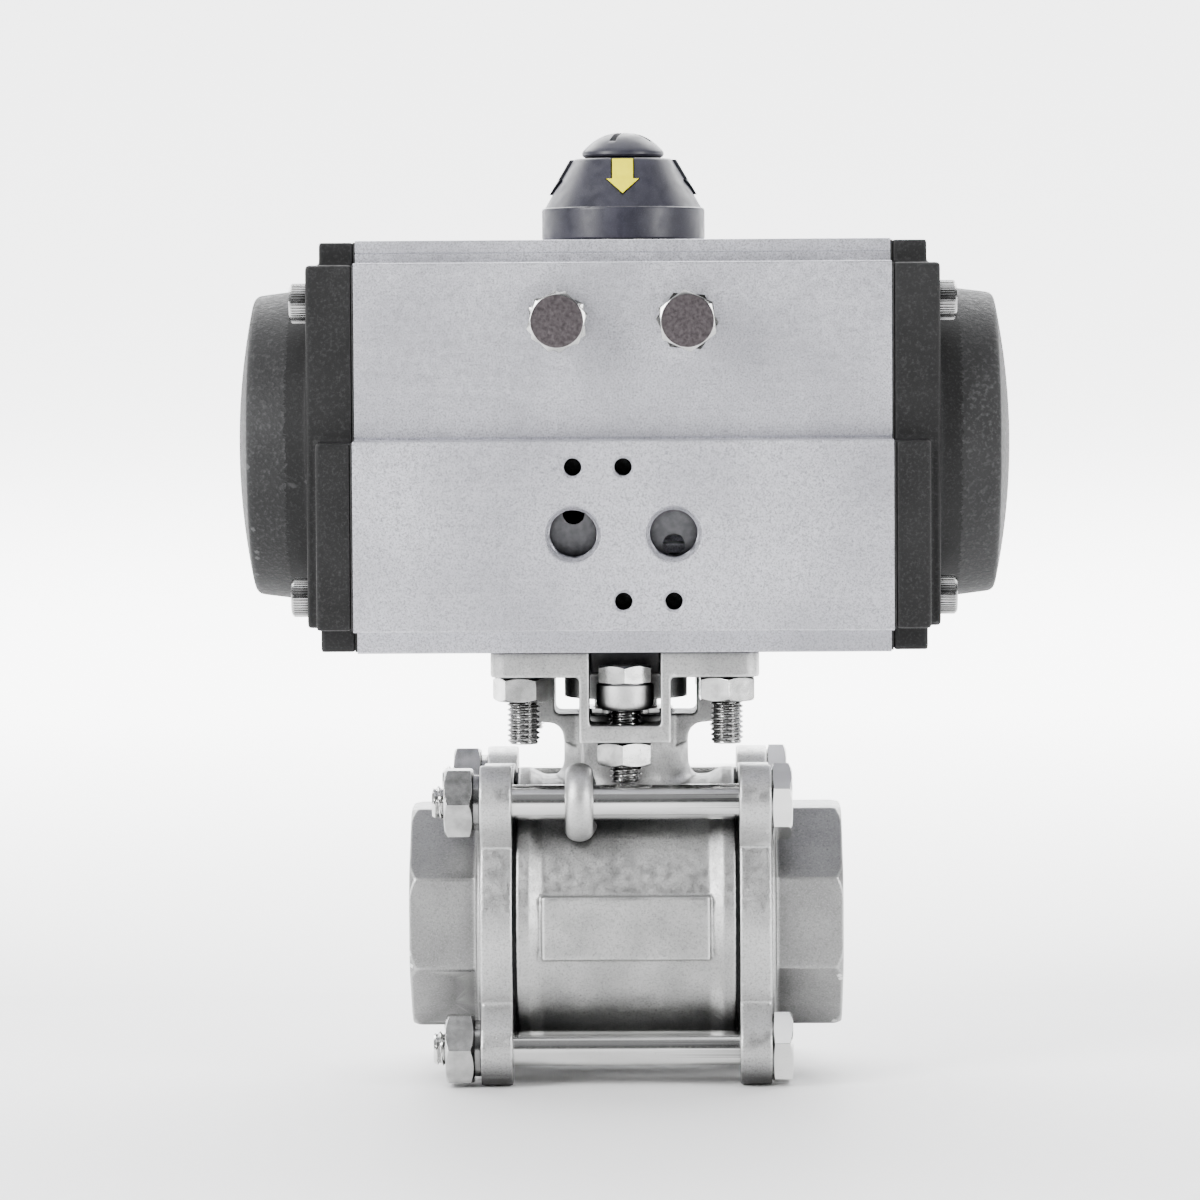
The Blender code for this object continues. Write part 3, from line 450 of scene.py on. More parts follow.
def shadowed_aluminium():
    """Walls of the drilled holes, painted near black as the shade inside them, with faint turning rings."""
    paint = Paint("drilled_walls_painted_shade", (0.10, 0.10, 0.105), 0.9, 0.42)
    rings = paint.noise(0.5, 3, stretch=(4, 1, 4))
    paint.tint(paint.spread(rings, 0, 1), (0.17, 0.17, 0.18), (0.23, 0.23, 0.24))
    # Painted shade: darker still where the walls of the hole close in.
    paint.tint(paint.shelter(4.5, 0.60, 0.30), (0, 0, 0), (0.004, 0.004, 0.004))
    paint.rough(paint.spread(paint.noise(1.2), 0.34, 0.5))
    paint.bump(rings, 0.15, 0.04)
    return paint.material


def powder_coat(name="black_coating", grain=0.7, depth=0.12, shade=0.68):
    """Dark grey textured powder coat with a soft pebble and a little dust on the peaks."""
    low, high, dust = [[shade * c * k for c in (1, 1, 1.02)] for k in (0.016, 0.024, 0.085)]
    paint = Paint(name, low, 0.0, 0.56, Specular_IOR_Level=0.15)
    pebble = paint.noise(grain, 3, rough=0.55)
    speck = paint.noise(grain * 0.5, 3)
    paint.tint(paint.spread(paint.noise(25), 0, 1), low, high)
    paint.tint(paint.spread(pebble, 0, 0.30, 0.50, 0.72), (0, 0, 0), dust)
    paint.tint(paint.spread(speck, 0, 0.22, 0.55, 0.8), (0, 0, 0), dust)
    paint.tint(paint.edges(), (0, 0, 0), [0.7 * c for c in dust])
    paint.rough(paint.spread(pebble, 0.46, 0.66))
    paint.bump(pebble, 0.6, depth)
    paint.bump(speck, 0.25, depth * 0.4)
    return paint.material


def dark_plastic(name="dark_plastic", shade=0.75):
    """Moulded blue-grey plastic with a fine spark-eroded grain and soft handling marks."""
    low = [shade * c for c in (0.022, 0.022, 0.033)]
    high = [shade * c for c in (0.040, 0.039, 0.056)]
    paint = Paint(name, low, 0.0, 0.36, Specular_IOR_Level=0.4)
    grain = paint.noise(0.25, 3)
    paint.tint(paint.spread(paint.noise(6, 4), 0, 1), low, high)
    paint.tint(paint.spread(grain, 0, 0.35, 0.5, 0.75), (0, 0, 0), [2.2 * c for c in high])
    paint.rough(paint.spread(paint.noise(3.0, 4), 0.31, 0.46))
    paint.bump(grain, 0.12, 0.03)
    return paint.material


def yellow_plastic():
    """Pale yellow moulded insert."""
    paint = Paint("yellow_plastic", (0.86, 0.72, 0.03), 0.0, 0.5, Specular_IOR_Level=0.02)
    paint.tint(paint.spread(paint.noise(2.5), 0, 1), (0.86, 0.76, 0.0), (0.92, 0.83, 0.004))
    paint.rough(paint.spread(paint.noise(0.8), 0.36, 0.50))
    paint.bump(paint.noise(0.3, 3), 0.10, 0.02)
    return paint.material


def cast_stainless(name="cast_stainless", darker_past=None):
    """Bead-blasted casting: fine grain, slow waves, polished edges, painted shade where nearby surfaces close
    it in, and, given a distance, lighter inside it along X and darker past it.
    """
    low, high = [[c * k for c in (1, 1, 0.99)] for k in (0.42, 0.56)]
    paint = Paint(name, low, 1.0, 0.42)
    grain = paint.noise(0.5, 5, rough=0.75)
    waves = paint.noise(9.0, 3)
    paint.tint(paint.spread(waves, 0, 1), low, high)
    # Lighter inside the distance along X and darker past it.
    if darker_past:
        place = paint.node("ShaderNodeTexCoord").outputs["Object"]
        along = paint.node("ShaderNodeSeparateXYZ", {"Vector": place}).outputs["X"]
        away = paint.node("ShaderNodeMath", {0: along}, operation="ABSOLUTE").outputs[0]
        paint.tint(paint.spread(away, 0.5, 0, darker_past, darker_past + MM), (0, 0, 0), (0.62, 0.62, 0.62))
        paint.tint(paint.spread(away, 0, 0.55, darker_past, darker_past + MM), (0, 0, 0), (0.19, 0.19, 0.19))
    paint.tint(paint.spread(grain, 0, 0.75, 0.48, 0.70), (0, 0, 0), (0.17, 0.17, 0.168))
    paint.tint(paint.spread(paint.noise(0.45, 3), 0, 0.22, 0.52, 0.70), (0, 0, 0), (0.70, 0.70, 0.69))
    paint.tint(paint.edges(0.51, 0.57), (0, 0, 0), (0.74, 0.74, 0.735))
    # Painted shade: the casting darkens where nearby surfaces close it in, as under the pad and beside the
    # flanges.
    paint.tint(paint.shelter(18, 0.76, 0.18), (0, 0, 0), (0.05, 0.05, 0.05))
    paint.rough(paint.spread(paint.noise(2.2, 4), 0.34, 0.50))
    paint.bump(waves, 0.15, 0.30)
    paint.bump(grain, 0.75, 0.09)
    return paint.material


def bright_stainless():
    """Drawn and machined fasteners: nearly mirror bright, with fine tool lines and small stains, painted
    shade in hollows and close corners, and painted highlights along sharp edges.
    """
    paint = Paint("bright_stainless", (0.50, 0.50, 0.495), 1.0, 0.20)
    paint.tint(paint.spread(paint.noise(4.0, 5), 0, 1), (0.34, 0.34, 0.335), (0.56, 0.56, 0.555))
    paint.tint(paint.spread(paint.noise(0.7, 4), 0, 0.4, 0.62, 0.8), (0, 0, 0), (0.40, 0.39, 0.38))
    # Painted shade in the inner corners.
    paint.tint(paint.hollows(0.45, 0.495), (0, 0, 0), (0.05, 0.05, 0.05))
    # Painted highlight along the sharp edges.
    paint.tint(paint.edge_highlight(0.22), (0, 0, 0), (0.74, 0.74, 0.735))
    # Painted shade where nearby surfaces close the part in.
    paint.tint(paint.shelter(3), (0, 0, 0), (0.07, 0.07, 0.07))
    paint.rough(paint.spread(paint.noise(1.5, 4), 0.13, 0.27))
    paint.bump(paint.noise(0.22, 3, stretch=(1, 6, 1)), 0.12, 0.02)
    paint.bump(paint.noise(2.5), 0.12, 0.05)
    return paint.material


def turned_stainless():
    """Bright shank with lathe lines round the pipe's direction, and painted shade in its inner corners."""
    paint = Paint("turned_stainless", (0.76, 0.76, 0.755), 1.0, 0.17)
    lines = paint.noise(0.16, 3, stretch=(1, 90, 90))
    cloud = paint.spread(paint.noise(5.0, 5, stretch=(4, 1, 1)), 0, 1)
    paint.tint(cloud, (0.70, 0.70, 0.69), (0.80, 0.80, 0.79))
    paint.tint(paint.spread(paint.noise(0.5, 5), 0, 0.6, 0.64, 0.8), (0, 0, 0), (0.34, 0.33, 0.32))
    # Painted shade in the inner corners.
    paint.tint(paint.hollows(), (0, 0, 0), (0.06, 0.06, 0.06))
    paint.rough(paint.spread(lines, 0.12, 0.24))
    paint.bump(lines, 0.16, 0.02)
    return paint.material


def forged_face():
    """Dull cold-forged end face of a bolt head."""
    paint = Paint("forged_face", (0.11, 0.095, 0.10), 1.0, 0.40)
    paint.tint(paint.spread(paint.noise(0.9, 5), 0, 1), (0.085, 0.073, 0.078), (0.145, 0.128, 0.134))
    paint.tint(paint.spread(paint.noise(0.5, 3), 0, 0.25, 0.58, 0.8), (0, 0, 0), (0.22, 0.20, 0.205))
    paint.rough(paint.spread(paint.noise(0.6, 4), 0.32, 0.5))
    paint.bump(paint.noise(0.45, 4), 0.35, 0.05)
    return paint.material


def machined_steel():
    """Nickel-plated inner steel parts."""
    paint = Paint("machined_steel", (0.47, 0.46, 0.44), 1.0, 0.30)
    paint.tint(paint.spread(paint.noise(6.0, 4), 0, 1), (0.43, 0.42, 0.40), (0.52, 0.51, 0.48))
    paint.rough(paint.spread(paint.noise(1.0, 3), 0.24, 0.38))
    paint.bump(paint.noise(0.3, 3, stretch=(1, 1, 6)), 0.2, 0.03)
    return paint.material


def black_rubber():
    """Moulded seal rubber with a dusty bloom."""
    paint = Paint("black_rubber", (0.013, 0.013, 0.013), 0.0, 0.72)
    paint.tint(paint.spread(paint.noise(3.0, 4), 0, 1), (0.010, 0.010, 0.010), (0.022, 0.022, 0.022))
    paint.rough(paint.spread(paint.noise(0.6), 0.62, 0.82))
    paint.bump(paint.noise(0.4, 3), 0.25, 0.05)
    return paint.material


def white_polymer():
    """Turned PTFE-like polymer, slightly waxy."""
    paint = Paint("white_polymer", (0.82, 0.81, 0.78), 0.0, 0.45, Subsurface_Weight=0.08)
    paint.tint(paint.spread(paint.noise(5.0, 3), 0, 1), (0.78, 0.77, 0.73), (0.86, 0.85, 0.83))
    paint.rough(paint.spread(paint.noise(0.8, 3), 0.38, 0.52))
    paint.bump(paint.noise(0.2, 2, stretch=(1, 8, 8)), 0.15, 0.02)
    return paint.material


ALUMINIUM = anodised_aluminium()
DRILLED_HOLE_SHADE = shadowed_aluminium()
COATING = powder_coat()
ROUGH_COATING = powder_coat("dome_coating", 1.1, 0.30, 1.25)
PLASTIC = dark_plastic()
DARK_INSERT = dark_plastic("dark_insert", 0.35)
YELLOW = yellow_plastic()
CAST = cast_stainless()
END_CAST = cast_stainless("end_casting", 35.5 * MM)
BRIGHT = bright_stainless()
SHANK = turned_stainless()
FORGED = forged_face()
STEEL = machined_steel()
RUBBER = black_rubber()
POLYMER = white_polymer()


# ---------------------------------------------------------------- actuator

def at_bore(outline):
    """Y and Z points measured from the bore's centre, put in place."""
    return [(STEM_Y + y, BORE_Z + z) for y, z in outline]


def body_outline(inset=0.0, groove=0.0):
    """Section of the extrusion from the bore's centre; groove cuts a fine line in the top strips."""
    top = HALF_HEIGHT - inset
    ledge = HALF_HEIGHT - 5.5 * MM - inset
    pad_top = HALF_HEIGHT - 48.0 * MM - inset
    foot = 6.0 * MM - HALF_HEIGHT + inset
    strip = 34.5 * MM - inset
    front = 43.0 * MM - inset
    base = 37.0 * MM - inset
    rear = REAR - inset
    pad = FRONT - inset
    front_strip = [(-strip, top), (-strip, ledge)]
    rear_strip = [(strip, ledge), (strip, top)]
    if groove:
        line = HALF_HEIGHT - 3.2 * MM
        cut_in = [(-strip, line + groove), (groove - strip, line), (-strip, line - groove)]
        front_strip[1:1] = cut_in
        rear_strip[1:1] = [(-y, z) for y, z in reversed(cut_in)]
    corner = [(-front, pad_top)]
    if groove:
        step = 0.35 * MM - front
        corner = [(-front, pad_top + 0.7 * MM), (step, pad_top + 0.3 * MM), (step, pad_top)]
    rest = [(-front, ledge)] + corner + [(-pad, pad_top), (-pad, foot), (-base, foot), (-base, -top),
            (base, -top), (base, foot), (rear, foot), (rear, ledge)]
    return front_strip + rest + rear_strip


PORT_Z = BORE_Z + HALF_HEIGHT - 70.3 * MM
PORT_X = 12.0 * MM
SOLENOID_HOLES = ((-PORT_X, 16), (0, 16), (0, -16), (PORT_X, -16))
STOP_Z = middle("stop_bolt_left").z
STOP_X = middle("stop_bolt_right").x
SCREW_PLACES = [(middle(f"cap_screw_left_{i}").y, middle(f"cap_screw_left_{i}").z) for i in (1, 2, 3, 4)]
CAP_INSET = 0.4 * MM
STUD_PLACES = [(x, STEM_Y + y) for x in (-STUD_X, STUD_X) for y in (-STUD_X, STUD_X)]


def drill(radius, mouth, face, depth, place, sides=PIN_SIDES):
    """Tool for a countersunk hole into a face that looks along -Y."""
    return turned([(0, face - MM), (mouth + MM, face - MM), (radius, face + mouth - radius),
                   (radius, face + depth), (0, face + depth)], "Y", place, sides)


def make_body():
    """Extrusion with its bore, ports, stop bolt holes, screw holes and top pattern."""
    section = rounded(at_bore(body_outline(0, 0.22 * MM)), 0.45 * MM, 3)
    body = prism(section, -HALF_LENGTH, HALF_LENGTH, "X")
    bevel(body, 0.35 * MM, 2, 60)
    reach = HALF_LENGTH + MM
    cut(body, rod(BODY_BORE, -reach, reach, "X", BORE, WIDE_SIDES))
    cut(body, rod(14.3 * MM, BORE_Z, BODY_HIGH.z + MM, "Z", STEM),
        rod(15.8 * MM, BODY_LOW.z - MM, BORE_Z, "Z", STEM))
    face = BODY_LOW.y
    for x in (-PORT_X, PORT_X):
        cut(body, drill(6.6 * MM, 7.0 * MM, face, 12 * MM, (x, PORT_Z), 64))
    air = 2.65 * MM
    floor = face + 11 * MM
    channel = (STEM_Y - BODY_BORE, PORT_Z - 3.0 * MM)
    cut(body, rod(air, floor, STEM_Y - 30 * MM, "Y", (-PORT_X, PORT_Z + 4.6 * MM)))
    cut(body, rod(air, floor, channel[0], "Y", (PORT_X, channel[1])))
    cut(body, rod(2.1 * MM, -reach, reach, "X", channel, 24))
    for x, z in SOLENOID_HOLES:
        cut(body, drill(2.1 * MM, 2.75 * MM, face, 10 * MM, (x, PORT_Z + z * MM), 32))
    for x in (-STOP_X, STOP_X):
        cut(body, drill(4.3 * MM, 4.9 * MM, STEM_Y - 43 * MM, 28 * MM, (x, STOP_Z)))
    for place in SCREW_PLACES:
        for side in (-1, 1):
            low, high = span(side, reach, 46 * MM)
            cut(body, rod(3.3 * MM, low, high, "X", place, 24))
    top = BODY_HIGH.z
    hole = [(0, top - 8 * MM), (2.1 * MM, top - 8 * MM), (2.1 * MM, top - 0.6 * MM), (3.7 * MM, top + MM),
            (0, top + MM)]
    for x in (-40 * MM, 40 * MM):
        for y in (-15 * MM, 15 * MM):
            cut(body, turned(hole, "Z", (x, STEM_Y + y), 32))
    for place in STUD_PLACES:
        cut(body, rod(4.3 * MM, BODY_LOW.z - MM, BODY_LOW.z + 13.5 * MM, "Z", place, 32))
    show(body, "body_shell", ALUMINIUM, "housing", ["actuator_body"])
    # The walls inside the ports and solenoid holes get the near-black painted shade.
    body.data.materials.append(DRILLED_HOLE_SHADE)
    holes = [(x, PORT_Z, 6.7 * MM, 2.0 * MM) for x in (-PORT_X, PORT_X)]
    holes += [(x, PORT_Z + z * MM, 2.3 * MM, 0.5 * MM) for x, z in SOLENOID_HOLES]
    for polygon in body.data.polygons:
        place = polygon.center
        for x, z, radius, depth in holes:
            inside = face + depth < place.y < face + 23 * MM
            if inside and math.hypot(place.x - x, place.z - z) < radius:
                polygon.material_index = 1
    return body


def make_port_thread(name, x):
    """Threaded wall of a G1/4 port."""
    face = BODY_LOW.y
    thread = threaded(5.72 * MM, 0.72 * MM, 1.337 * MM, face + 0.9 * MM, face + 11.9 * MM, "Y",
                      (x, PORT_Z), 6.55 * MM, 64, (True, False))
    return show(thread, name, ALUMINIUM, "housing")


def make_cap(where, side):
    """Die-cast end cap: stepped plate, inner flange, ribbed screw corners and a domed cover."""
    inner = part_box("cap_seal_right")[1].x + 0.1 * MM
    plate_end = HALF_LENGTH + 8.8 * MM
    flange_end = HALF_LENGTH + 11.6 * MM

    def slab(outline, start, end):
        """An outline drawn out along X on the cap's side."""
        low, high = span(side, start, end)
        return prism(outline, low, high, "X")

    cap = slab(rounded(at_bore(body_outline(CAP_INSET)), 0.9 * MM, 4), inner, plate_end)
    ledge = HALF_HEIGHT - 5.9 * MM
    foot = 6.5 * MM - HALF_HEIGHT
    near = CAP_INSET - 43 * MM
    far = REAR - CAP_INSET
    flange = rounded(at_bore([(near, foot), (far, foot), (far, ledge), (near, ledge)]), 1.8 * MM, 6)
    union(cap, slab(flange, inner + 2 * MM, flange_end))
    tip = CAP_END
    edge = 36.0 * MM
    crown = 3.9 * MM
    dome = [(0, plate_end), (38.7 * MM, plate_end), (38.7 * MM, flange_end), (37.0 * MM, tip - 5.4 * MM),
            (36.7 * MM, tip - crown - 0.6 * MM)]
    for i in range(9):
        r = edge * (1 - i / 9)
        dome.append((r, tip - crown * (r / edge) ** 2))
    dome.append((0, tip))
    union(cap, turned_out(dome, side, BORE))
    hollow = [(0, inner - MM), (33 * MM, inner - MM), (33 * MM, tip - 11 * MM), (30 * MM, tip - 8 * MM),
              (0, tip - 6 * MM)]
    cut(cap, turned_out(hollow, side, BORE))
    seat = flange_end + 4.4 * MM - 6 * MM
    for place in SCREW_PLACES:
        hole = [(0, inner - MM), (3.3 * MM, inner - MM), (3.3 * MM, seat),
                (5.1 * MM, seat), (5.1 * MM, tip), (0, tip)]
        cut(cap, turned_out(hole, side, place, 32))
    cast(cap, 0.45 * MM, 5, 0.45)
    show(cap, f"cap_casting_{where}", COATING, "housing", [f"end_cap_{where}"], angle=0)
    cap.data.materials.append(ROUGH_COATING)
    for face in cap.data.polygons:
        off = math.hypot(face.center.y - STEM_Y, face.center.z - BORE_Z)
        if off < 38 * MM and abs(face.center.x) > flange_end:
            face.material_index = 1


def knurled(radius, ridges):
    """Outline of a knurled head: shallow straight ridges."""
    points = []
    for i in range(ridges * 4):
        angle = math.tau * i / (ridges * 4)
        reach = radius - (0.30 * MM if i % 4 in (2, 3) else 0)
        points.append((reach * math.cos(angle), reach * math.sin(angle)))
    return points


def make_cap_screw(node, side, place):
    """M6 socket head screw: knurled head, hexagon socket, threaded shank."""
    face = HALF_LENGTH + 16.0 * MM
    seat = face - 5.9 * MM
    ridged = [(place[0] + u, place[1] + v) for u, v in knurled(4.8 * MM, 44)]
    low, high = span(side, seat, face)
    screw = prism(ridged, low, high, "X")
    crown = [(0, seat), (4.55 * MM, seat), (4.8 * MM, seat + 0.4 * MM), (4.85 * MM, face - 0.8 * MM),
             (4.45 * MM, face - 0.25 * MM), (4.1 * MM, face), (0, face)]
    overlap(screw, turned_out(crown, side, place, 64))
    low, high = span(side, face - 3.2 * MM, face + MM)
    cut(screw, prism(across_flats(5 * MM, 6, place, 0.3), low, high, "X"))
    lip = face + 0.1 * MM
    mouth = [(0, face - 0.5 * MM), (2.6 * MM, face - 0.5 * MM), (3.3 * MM, lip), (0, lip)]
    cut(screw, turned_out(mouth, side, place, 32))
    low, high = span(side, 50 * MM, seat + 0.5 * MM)
    union(screw, rod(2.9 * MM, low, high, "X", place, 24))
    return fastener(screw, node, 28)


def hex_part(flats, low, high, axis, place, turn, hole=0.0, washer=0.0):
    """Hexagon with chamfered corners at both ends, or only at the high end above a washer face."""
    part = prism(across_flats(flats, 6, place, turn), low, high, axis)
    corner = flats / 2 / math.cos(math.pi / 6) + 0.02 * MM
    flat = flats / 2 - 0.25 * MM
    drop = (corner - flat) * math.tan(math.radians(30))
    start = [(0, low), (flat, low), (corner, low + drop)]
    if washer:
        start = [(0, low), (flat, low), (flat, low + washer), (corner, low + washer + drop * 0.3)]
    overlap(part, turned(start + [(corner, high - drop), (flat, high), (0, high)], axis, place, 96))
    if hole:
        wide = hole + 1.2 * MM
        cut(part, turned([(0, low - MM), (wide, low - MM), (hole, low + 0.3 * MM), (hole, high - 0.3 * MM),
                          (wide, high + MM), (0, high + MM)], axis, place, 48))
    return bevel(part, 0.14 * MM, 2, 25)


def make_stop_bolt(where, x, turn):
    """Travel stop: hexagon head with a dull forged face, threaded shank and a lock nut behind it."""
    node = f"stop_bolt_{where}"
    front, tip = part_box(node)[0].y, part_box(node)[1].y
    place = (x, STOP_Z)
    head_back = front + 5.2 * MM
    head = hex_part(13 * MM, -head_back, -front, "Y", (0, 0), turn)
    for vertex in head.data.vertices:
        vertex.co = Vector((vertex.co.x + x, -vertex.co.y, vertex.co.z + STOP_Z))
    head.data.flip_normals()
    union(head, threaded(4 * MM, 0.62 * MM, 1.25 * MM, head_back - 0.5 * MM, tip, "Y", place,
                         chamfer=(False, True)))
    fastener(head, node)
    head.data.materials.append(FORGED)
    for face in head.data.polygons:
        if face.normal.y < -0.98 and face.center.y < front + 0.3 * MM:
            face.material_index = 1
    low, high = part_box(f"stop_nut_{where}")
    nut = hex_part(13 * MM, low.y, high.y, "Y", place, turn + 0.35, 4.1 * MM)
    fastener(nut, f"stop_nut_{where}")


# ---------------------------------------------------------------- indicator

CONE_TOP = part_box("indicator_cap")[1].z
CONE_BASE = BODY_HIGH.z + 0.5 * MM
SHOULDER = BODY_HIGH.z + 7.6 * MM


def cone_radius(z):
    """Radius of the cone's side at a height."""
    share = (z - SHOULDER - 0.8 * MM) / (CONE_TOP - SHOULDER - 0.8 * MM)
    return (19.3 - (19.3 - 12.3) * share) * MM


def cone_shell(raise_by, low, high):
    """Cone parallel to the indicator's side, raised or sunk by a distance."""
    wide = cone_radius(low) + raise_by
    narrow = cone_radius(high) + raise_by
    return turned([(0, low), (wide, low), (narrow, high), (0, high)], "Z", STEM)


def arrow_outline(half, head, top, neck, tip, grow=0.0):
    """Downward arrow in width and height: a shaft from top to neck and a head down to tip."""
    return [(-half - grow, top), (-half - grow, neck), (-head - grow, neck), (0, tip - grow * 1.6),
            (head + grow, neck), (half + grow, neck), (half + grow, top)]


def around_stem(obj, angle):
    """Turns a piece made at the front round the stem."""
    move = Matrix.Translation((0, STEM_Y, 0))
    obj.data.transform(move @ Matrix.Rotation(angle, 4, "Z") @ move.inverted())
    return obj


ARROW = (2.55 * MM, 4.0 * MM, CONE_TOP + MM, CONE_TOP - 5.2 * MM, CONE_TOP - 8.8 * MM)


def arrow_tool(grow, angle):
    """Prism through the cone's side with the arrow's outline, turned round the stem."""
    tool = prism(arrow_outline(*ARROW, grow), STEM_Y - 30 * MM, STEM_Y - 8 * MM, "Y")
    return around_stem(tool, angle)


def make_indicator():
    """Domed cone with four arrow recesses, its inserts and the screw that holds it."""
    cap = turned([(0, CONE_BASE), (19.8 * MM, CONE_BASE), (20.1 * MM, CONE_BASE + 0.4 * MM),
                  (20.1 * MM, SHOULDER), (19.9 * MM, SHOULDER + 0.5 * MM), (19.3 * MM, SHOULDER + 0.8 * MM),
                  (12.7 * MM, CONE_TOP - 0.6 * MM), (12.2 * MM, CONE_TOP - 0.15 * MM),
                  (11.8 * MM, CONE_TOP), (0, CONE_TOP)], "Z", STEM)
    hollow_top = BODY_HIGH.z + 16.8 * MM
    cut(cap, turned([(0, BODY_HIGH.z), (17.2 * MM, BODY_HIGH.z), (17.2 * MM, CONE_BASE + 6 * MM),
                     (7 * MM, CONE_BASE + 6.3 * MM), (7 * MM, hollow_top), (0, hollow_top)], "Z", STEM, 64),
        rod(3.3 * MM, BODY_HIGH.z, CONE_TOP + MM, "Z", STEM, 32))
    quarter = math.pi / 2
    for i in range(4):
        recess = cone_shell(1.0 * MM, CONE_TOP - 12 * MM, CONE_TOP + 0.5 * MM)
        overlap(recess, arrow_tool(0.35 * MM, i * quarter))
        cut(recess, cone_shell(-0.8 * MM, CONE_TOP - 13 * MM, CONE_TOP + MM))
        cut(cap, recess)
    bevel(cap, 0.12 * MM, 2, 40)
    show(cap, "indicator_cone", PLASTIC, "rotor", ["indicator_cap"], angle=30)
    colours = (("front", 0, YELLOW, 0.1), ("right", 1, DARK_INSERT, 0.8), ("rear", 2, YELLOW, 0.1),
               ("left", 3, DARK_INSERT, 0.8))
    for where, turn, paint, proud in colours:
        insert = cone_shell(proud * MM, CONE_TOP - 12 * MM, CONE_TOP - 0.25 * MM)
        overlap(insert, arrow_tool(0, turn * quarter))
        cut(insert, cone_shell(-1.3 * MM, CONE_TOP - 13 * MM, CONE_TOP + MM))
        bevel(insert, 0.10 * MM, 2, 40)
        nodes = [f"indicator_arrow_{where}"] if paint is YELLOW else []
        show(insert, f"arrow_insert_{where}", paint, "rotor", nodes)


def make_indicator_screw():
    """Moulded dark screw with a broad oval head and a cross slot, on top of the cone."""
    low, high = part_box("indicator_screw")
    seat = CONE_TOP + 0.3 * MM
    rim = [(2.9, 0), (9.3, 0), (9.8, 0.2), (10.1, 0.6), (10.1, 1.1), (9.9, 1.5), (9.3, 2.1)]
    dome = [(8.3, 2.95), (7.1, 3.8), (5.8, 4.5), (4.4, 5.05), (2.9, 5.4), (1.4, 5.58)]
    rise = (high.z - seat) / (5.65 * MM)
    profile = [(0, low.z), (2.9 * MM, low.z)]
    profile += [(r * MM, seat + z * MM * rise) for r, z in rim + dome]
    profile.append((0, high.z))
    screw = turned(profile, "Z", STEM)
    for turn in (-0.35, -0.35 + math.pi / 2):
        along = Vector((math.cos(turn), math.sin(turn)))
        across = Vector((-along.y, along.x)) * 0.8 * MM
        slot = []
        for reach, side in ((-7.4, -1), (7.4, -1), (7.4, 1), (-7.4, 1)):
            point = along * reach * MM + across * side
            slot.append((point.x, point.y + STEM_Y))
        cut(screw, prism(slot, high.z - 2.6 * MM, high.z + MM))
    bevel(screw, 0.12 * MM, 2, 35)
    return show(screw, "cone_screw", PLASTIC, "rotor", ["indicator_screw"], angle=30)


# ---------------------------------------------------------------- valve

PAD_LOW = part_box("mount_nut_1")[1].z + 0.1 * MM
PAD_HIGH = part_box("valve_body")[1].z
PAD_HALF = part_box("valve_body")[1].x
NECK_TOP = PIPE_Z + 50 * MM
AXIS = (STEM_Y, PIPE_Z)
TIE_PLACES = [(STEM_Y + y, PIPE_Z + z) for y in (-TIE_TURN, TIE_TURN) for z in (-TIE_TURN, TIE_TURN)]
LEVER = (0, middle("lever_stop_bolt").y)


def saddle_outline():
    """Neck and the arms that carry the pad, in X and height above the pipe axis, in millimetres."""
    left = [(-11.5, 38.0), (-11.5, 42.0), (-15.2, 43.0)]
    left += arc((-18.9, 44.3), 3.5, 0, 80, 8) + [(-23.5, 48.3)]
    left += arc((-22.6, 50.6), 2.0, 230, 180, 3)
    top = (PAD_LOW - PIPE_Z) / MM + 1
    left += [(-24.6, top), (-17.5, top)] + arc((-16.3, 51.2), 1.2, 180, 270, 4)
    right = [(-x, z) for x, z in reversed(left)]
    return [(x * MM, PIPE_Z + z * MM) for x, z in left + right]


def neck_solid(barrel):
    """Round neck whose foot spreads in a fillet that follows the barrel."""
    sides = 96
    inner, outer = 15.4 * MM, 19.0 * MM
    rows = [[(inner, NECK_TOP - PIPE_Z)] * sides]
    for step in range(9):
        t = step / 8
        row = []
        for k in range(sides):
            lean = math.sin(math.tau * k / sides)
            wall = math.sqrt(barrel ** 2 - (inner * lean) ** 2)
            foot = math.sqrt(barrel ** 2 - (outer * lean) ** 2) - 0.5 * MM
            reach = inner + (outer - inner) * t * t
            height = (1 - t) ** 2 * (wall + 4.5 * MM) + 2 * t * (1 - t) * wall + t * t * foot
            row.append((reach, height))
        rows.append(row)
    rows.append([(outer, 24 * MM)] * sides)
    bm = bmesh.new()
    rings = []
    for row in rows:
        ring = []
        for k, (reach, height) in enumerate(row):
            angle = math.tau * k / sides
            across = STEM_Y + reach * math.sin(angle)
            ring.append(bm.verts.new((reach * math.cos(angle), across, PIPE_Z + height)))
        rings.append(ring)
    skin(bm, rings)
    return piece("neck", bm)


